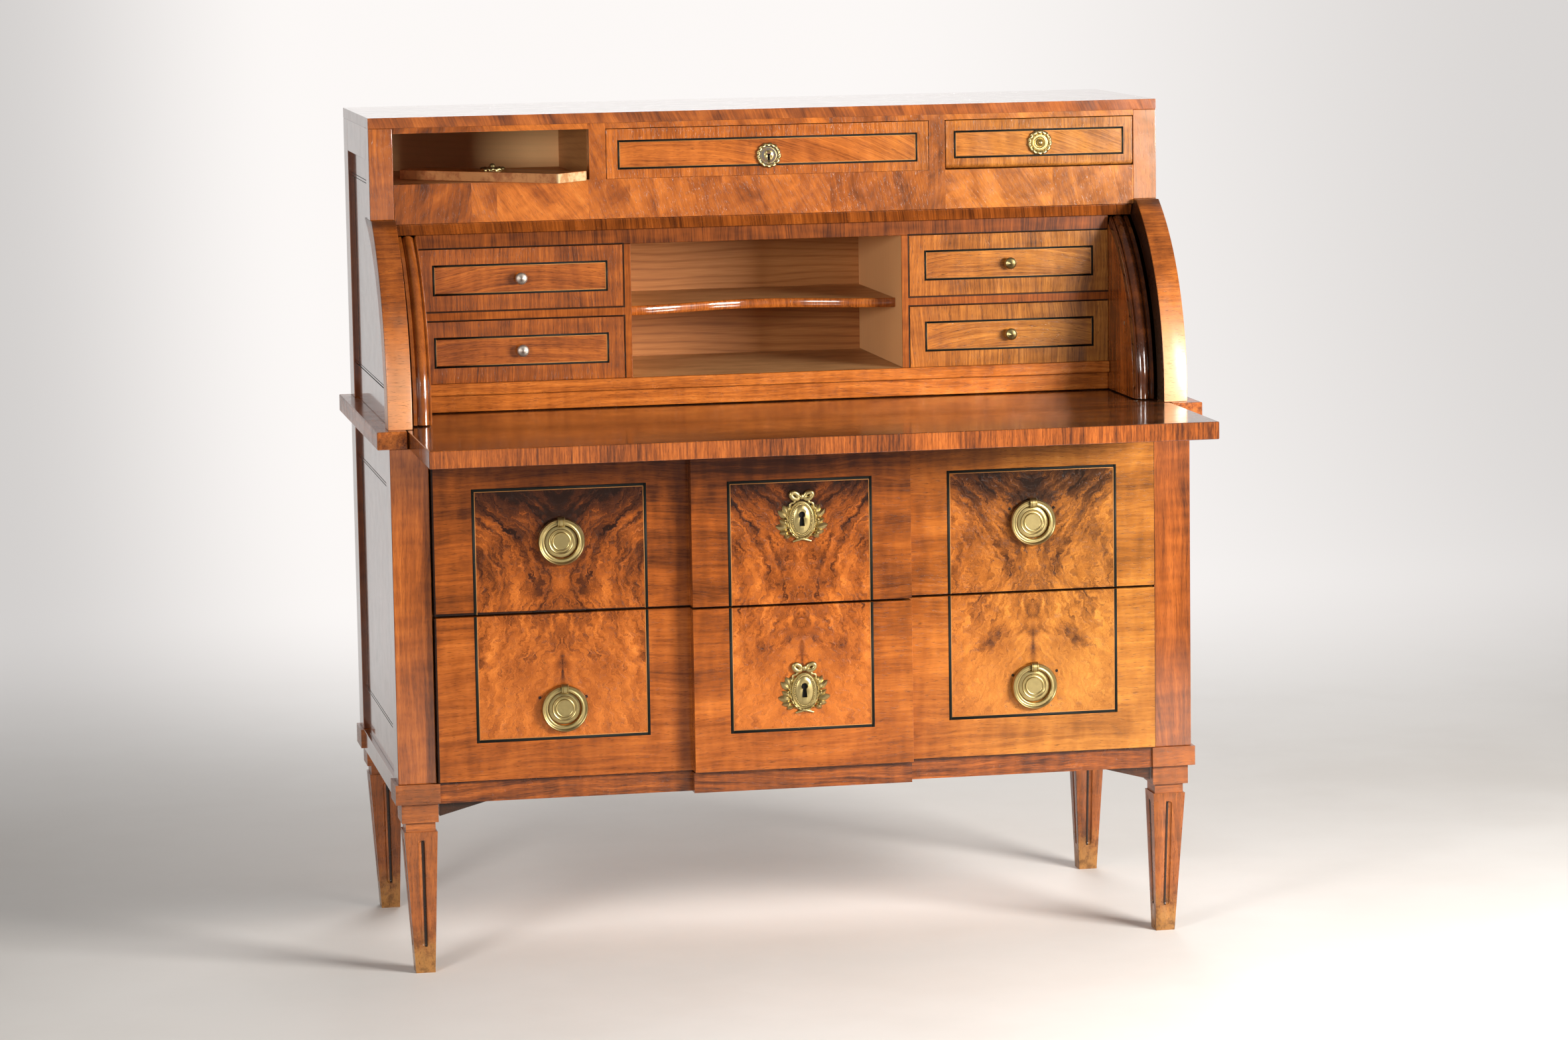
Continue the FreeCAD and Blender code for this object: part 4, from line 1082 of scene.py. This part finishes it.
def laurel(plate, side):
    """A spray of leaves up one side of the oval, with berries between them."""
    def on_stem(angle):
        return side * laurel_oval[0] * math.cos(angle), laurel_oval[1] * math.sin(angle)

    def turned(way):
        return way if side > 0 else math.pi - way

    count = 22
    angles = [math.radians(-96.0 + 140.0 * i / count) for i in range(count + 1)]
    plate.tube([(*on_stem(angle), 1.4) for angle in angles], 1.5, 0.9)
    for x, y, degrees, length, width in leaves:
        plate.leaf(side * x, y, turned(math.radians(degrees)), length, width, 3.6)
    for number in range(13):
        angle = math.radians(-78.0 + 9.5 * number)
        way = angle + math.radians(90.0 + (28.0 if number % 2 else -28.0))
        plate.leaf(*on_stem(angle), turned(way), 6.2, 3.6, 2.8, 1.0)
    for x, y in berries:
        plate.ball(side * x, y, 2.4, 1.7)
    stalk = [(-3.0, -26.6, 2.2), (2.0, -27.8, 3.0), (7.0, -29.2, 2.4), (13.0, -31.2, 1.4)]
    plate.tube([(side * x, y, z) for x, y, z in stalk], 2.3, 1.4)


def bow(plate, side):
    """One loop and one tail of the ribbon bow on top of the oval."""
    loop = []
    count = 24
    for i in range(count + 1):
        angle = 2 * math.pi * i / count
        out = 7.0 - 6.4 * math.cos(angle)
        loop.append((side * (out * 0.84 + 4.0), 32.0 + out * 0.25 + 4.4 * math.sin(angle),
                     2.4 + 1.2 * math.sin(angle / 2)))
    plate.tube(loop, 3.3, 3.3, flat=0.75)
    tail = []
    count = 14
    for i in range(count):
        share = i / (count - 1)
        angle = math.radians(78.0 - 52.0 * share)
        swell = 1.0 + 0.05 * math.sin(4.0 * math.pi * share)
        tail.append((side * 21.8 * swell * math.cos(angle), 30.0 * swell * math.sin(angle), 2.2))
    plate.tube(tail, 1.9, 1.4, flat=0.75)


def wreath(radius=15.2, thick=2.9, lobes=13, sides=14):
    """An ornament that starts with a ring of twisted ribbon."""
    ornament = Ornament()
    rings = []
    for angle in around(lobes * 10):
        ring = []
        for turn in around(sides):
            size = thick * (1.0 + 0.20 * math.cos(lobes * angle + 2 * turn))
            reach = radius + size * math.cos(turn)
            height = max(thick * 0.5 + size * math.sin(turn), 0)
            ring.append((reach * math.cos(angle), reach * math.sin(angle), height))
        rings.append(ring)
    ornament.loops(rings + [rings[0]])
    bmesh.ops.remove_doubles(ornament.bm, verts=ornament.bm.verts, dist=0.001)
    return ornament


def knob_rosette(body, mount):
    """The rosette knob of a flap."""
    plate = wreath()
    plate.oval(0, 0, rosette_knob, 64, closed_end=True)
    piece = plate.piece(body + "_rosette", body, "brass", [brass], mount, 50.0)
    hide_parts(body + "_knob")


def rosettes():
    """The keyhole rosette of the frieze drawer and the rosette knobs of the two flaps."""
    plate = wreath()
    plate.oval(0, 0, rosette_rim, 64)
    keyhole_plate(plate, 9.7, 9.7, 3.2, 0.62)
    mount = facing_front(0, case_box("frieze_drawer")[0].y, middle_of("frieze_drawer_lock").z)
    plate.piece("frieze_key_rosette", "frieze_drawer", "brass", [brass, keyhole_shade], mount, 50.0)
    centre = middle_of("right_flap_knob")
    knob_rosette("right_flap", facing_front(centre.x, case_box("right_flap_knob")[1].y, centre.z))
    centre = middle_of("loose_flap_knob")
    bottom = case_box("loose_flap_knob")[0].z
    knob_rosette("loose_flap", Matrix.Translation(place(centre.x, centre.y, bottom)))


def frieze_fronts():
    """Veneer and lines of the frieze drawer and the right flap."""
    face = case_box("frieze_drawer")[0].y
    for node, (*panel, seed) in frieze_panels.items():
        dress_node(node, banded_front(node, *panel, seed, 0.25), bevel=1.0)
        string_frame(node, node, *panel, small_line, face)


def guide_bands():
    """Crowned bands beside the nest, the right one darkened as painted shade, with a bead along their inner
    edge.
    """
    count = 48
    angles = [math.radians(guide_start + (guide_end - guide_start) * i / count) for i in range(count + 1)]
    # Painted shade: the right band is darker than the left
    for side, sign, shade in (("left", -1, 0.0), ("right", 1, -0.28)):
        name = "guide_band_" + side
        material = plain_walnut(name, "Z", 41.0, shade, bold=0.12, fine=0.4, gloss=0.14, coat=0.9, film=0.06)
        rings = []
        for angle in angles:
            cos, sin = math.cos(angle), math.sin(angle)
            rings.append([(sign * (guide_inner + x), axis_y + r * cos, axis_z + r * sin)
                          for x, r in band_profile])
        band = Ornament()
        band.loops(rings, closed_start=True, closed_end=True)
        piece = band.piece(name, "case", "walnut_dark", [material], Matrix.Translation(place(0, 0, 0)), 50.0)
        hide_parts("cylinder_guides")


def shelf_edge():
    """Points (x, y) along the wavy front edge of the pigeonhole shelf, from left to right."""
    front = case_box("nest_case")[0].y
    found = {}
    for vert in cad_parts["nest_case"].data.vertices:
        x, y, z = vert.co.x / MM, (vert.co.y - front_plane) / MM, vert.co.z / MM
        if abs(x) < shelf_half and abs(z - shelf_top) < 0.4 and y < front + shelf_edge_depth:
            found[round(x, 1)] = y
    return sorted(found.items())


def shelf_nosing(points=13):
    """The rounded veneer strip along the front edge of the pigeonhole shelf."""
    edge = shelf_edge()
    middle = (nosing_low + nosing_high) / 2
    half = (nosing_high - nosing_low) / 2
    rings = []
    for number, (x, y) in enumerate(edge):
        x0, y0 = edge[max(number - 1, 0)]
        x1, y1 = edge[min(number + 1, len(edge) - 1)]
        ahead = Vector((x1 - x0, y1 - y0, 0)).normalized()
        out = Vector((ahead.y, -ahead.x, 0)) * nosing_out
        ring = []
        for k in range(points):
            angle = math.pi * (k / (points - 1) - 0.5)
            swell = math.sqrt(max(math.cos(angle), 0.0))
            ring.append(Vector((x, y, middle + half * math.sin(angle))) + out * swell)
        rings.append(ring)
    strip = Ornament()
    strip.loops(rings, closed_start=True, closed_end=True)
    material = plain_walnut("shelf_nosing", "Z", 44.0, -0.02, density=1.8, bold=0.5, gloss=0.13, coat=0.7)
    strip.piece("shelf_nosing", "case", "walnut", [material], Matrix.Translation(place(0, 0, 0)), 60.0)


def look_camera():
    """The photograph's place and direction."""
    data = bpy.data.cameras.new("camera")
    data.sensor_width = sensor_width
    data.lens = focal_pixels / photo_width * sensor_width
    data.clip_end = camera_reach
    camera = add_object("camera", data)
    pose = Matrix.Translation(place(*camera_place))
    for angle, axis in ((-camera_yaw, "Z"), (math.pi / 2 + camera_pitch, "X"), (camera_roll, "Z")):
        pose = pose @ Matrix.Rotation(angle, 4, axis)
    camera.matrix_world = pose
    bpy.context.scene.camera = camera


def soft_light(name, where, target, width, height, power, colour=(1, 1, 1)):
    data = bpy.data.lights.new(name, "AREA")
    data.shape = "RECTANGLE"
    data.size = width
    data.size_y = height
    data.energy = power
    data.color = colour
    lamp = add_object(name, data)
    lamp.location = where
    lamp.visible_camera = False
    lamp.rotation_euler = (Vector(target) - Vector(where)).to_track_quat("-Z", "Y").to_euler()


def paper():
    """Pale paper that glows to the camera and in reflections where it rises; its back is clear."""
    g = Graph("studio_paper")
    mottle = g.noise(g.where, scale=1.6, detail=6.0, roughness=0.6)
    colour = g.mix(g.smooth(mottle, 0.35, 0.7), (0.76, 0.745, 0.725), (0.71, 0.69, 0.665))
    # Painted shade: the paper darkens towards the left
    colour = g.mix(g.smooth(g.x, -0.3, -1.6, 0.0, 0.5), colour, (0.42, 0.40, 0.375))
    matt = g.surface(colour, 0.6, Specular_IOR_Level=0.2)
    left = g.smooth(g.x, -0.25, -1.05, 0.0, 0.33)
    right = g.smooth(g.x, 1.0, 2.9, 0.0, 0.28)
    tone = 0.98 - (left + right)
    glow = g.node("ShaderNodeEmission", {"Color": g.join(tone, tone * 0.965, tone * 0.945)})
    camera, glossy, through = (g.node("ShaderNodeLightPath", output=ray) for ray in
                               ("Is Camera Ray", "Is Glossy Ray", "Is Transmission Ray"))
    far = g.math("SQRT", g.x * g.x + g.y * g.y)
    glows = g.smooth(g.y, 0.7, 3.4) | g.smooth(far, 3.5, 8.0)
    shader = g.layer((camera | glossy | through) * glows, matt, glow)
    clear = g.node("ShaderNodeBsdfTransparent")
    return g.close(g.layer(g.node("ShaderNodeNewGeometry", output="Backfacing"), shader, clear))


def studio_floor(half_width=20.0, front=-20.0, back=3.2, bend=1.4, height=7.0, steps=16):
    """A pale floor that sweeps up into a backdrop."""
    outline = [(front, 0.0), (back, 0.0)]
    for i in range(1, steps + 1):
        angle = math.pi / 2 * i / steps
        outline.append((back + bend * math.sin(angle), bend * (1 - math.cos(angle))))
    outline.append((back + bend, height))
    bm = bmesh.new()
    left, right = [[bm.verts.new((x, y, z)) for y, z in outline] for x in (-half_width, half_width)]
    for i in range(len(outline) - 1):
        bm.faces.new((left[i], right[i], right[i + 1], left[i + 1]))
    floor = mesh_object("studio_floor", bm, [paper()])


def studio_light():
    """An even sky and soft lamps."""
    world = bpy.data.worlds.new("sky")
    bpy.context.scene.world = world
    world.use_nodes = True
    background = world.node_tree.nodes["Background"]
    background.inputs["Color"].default_value = (1.0, 0.99, 0.98, 1.0)
    background.inputs["Strength"].default_value = 0.18
    soft_light("right_lamp", (1.78, -1.95, 1.24), (0.1, 0.0, 0.60), 1.1, 0.5, 128.0, (1.0, 0.96, 0.91))
    soft_light("left_lamp", (-2.00, -2.45, 1.30), (0.0, 0.0, 0.65), 0.6, 0.4, 40.0, (1.0, 0.97, 0.94))
    soft_light("back_lamp", (0.6, 3.2, 2.7), (0.0, 0.4, 0.7), 1.6, 1.0, 50.0)


dress_nodes()
large_lines()
side_lines()
lining_pin()
small_fronts()
for drawer_level in ("upper", "lower"):
    for drawer_side in ("left", "right"):
        ring_handle(drawer_level, drawer_side)
key_plates()
rosettes()
frieze_fronts()
guide_bands()
shelf_nosing()
look_camera()
studio_floor()
studio_light()

scene = bpy.context.scene
scene.view_settings.view_transform = "Standard"
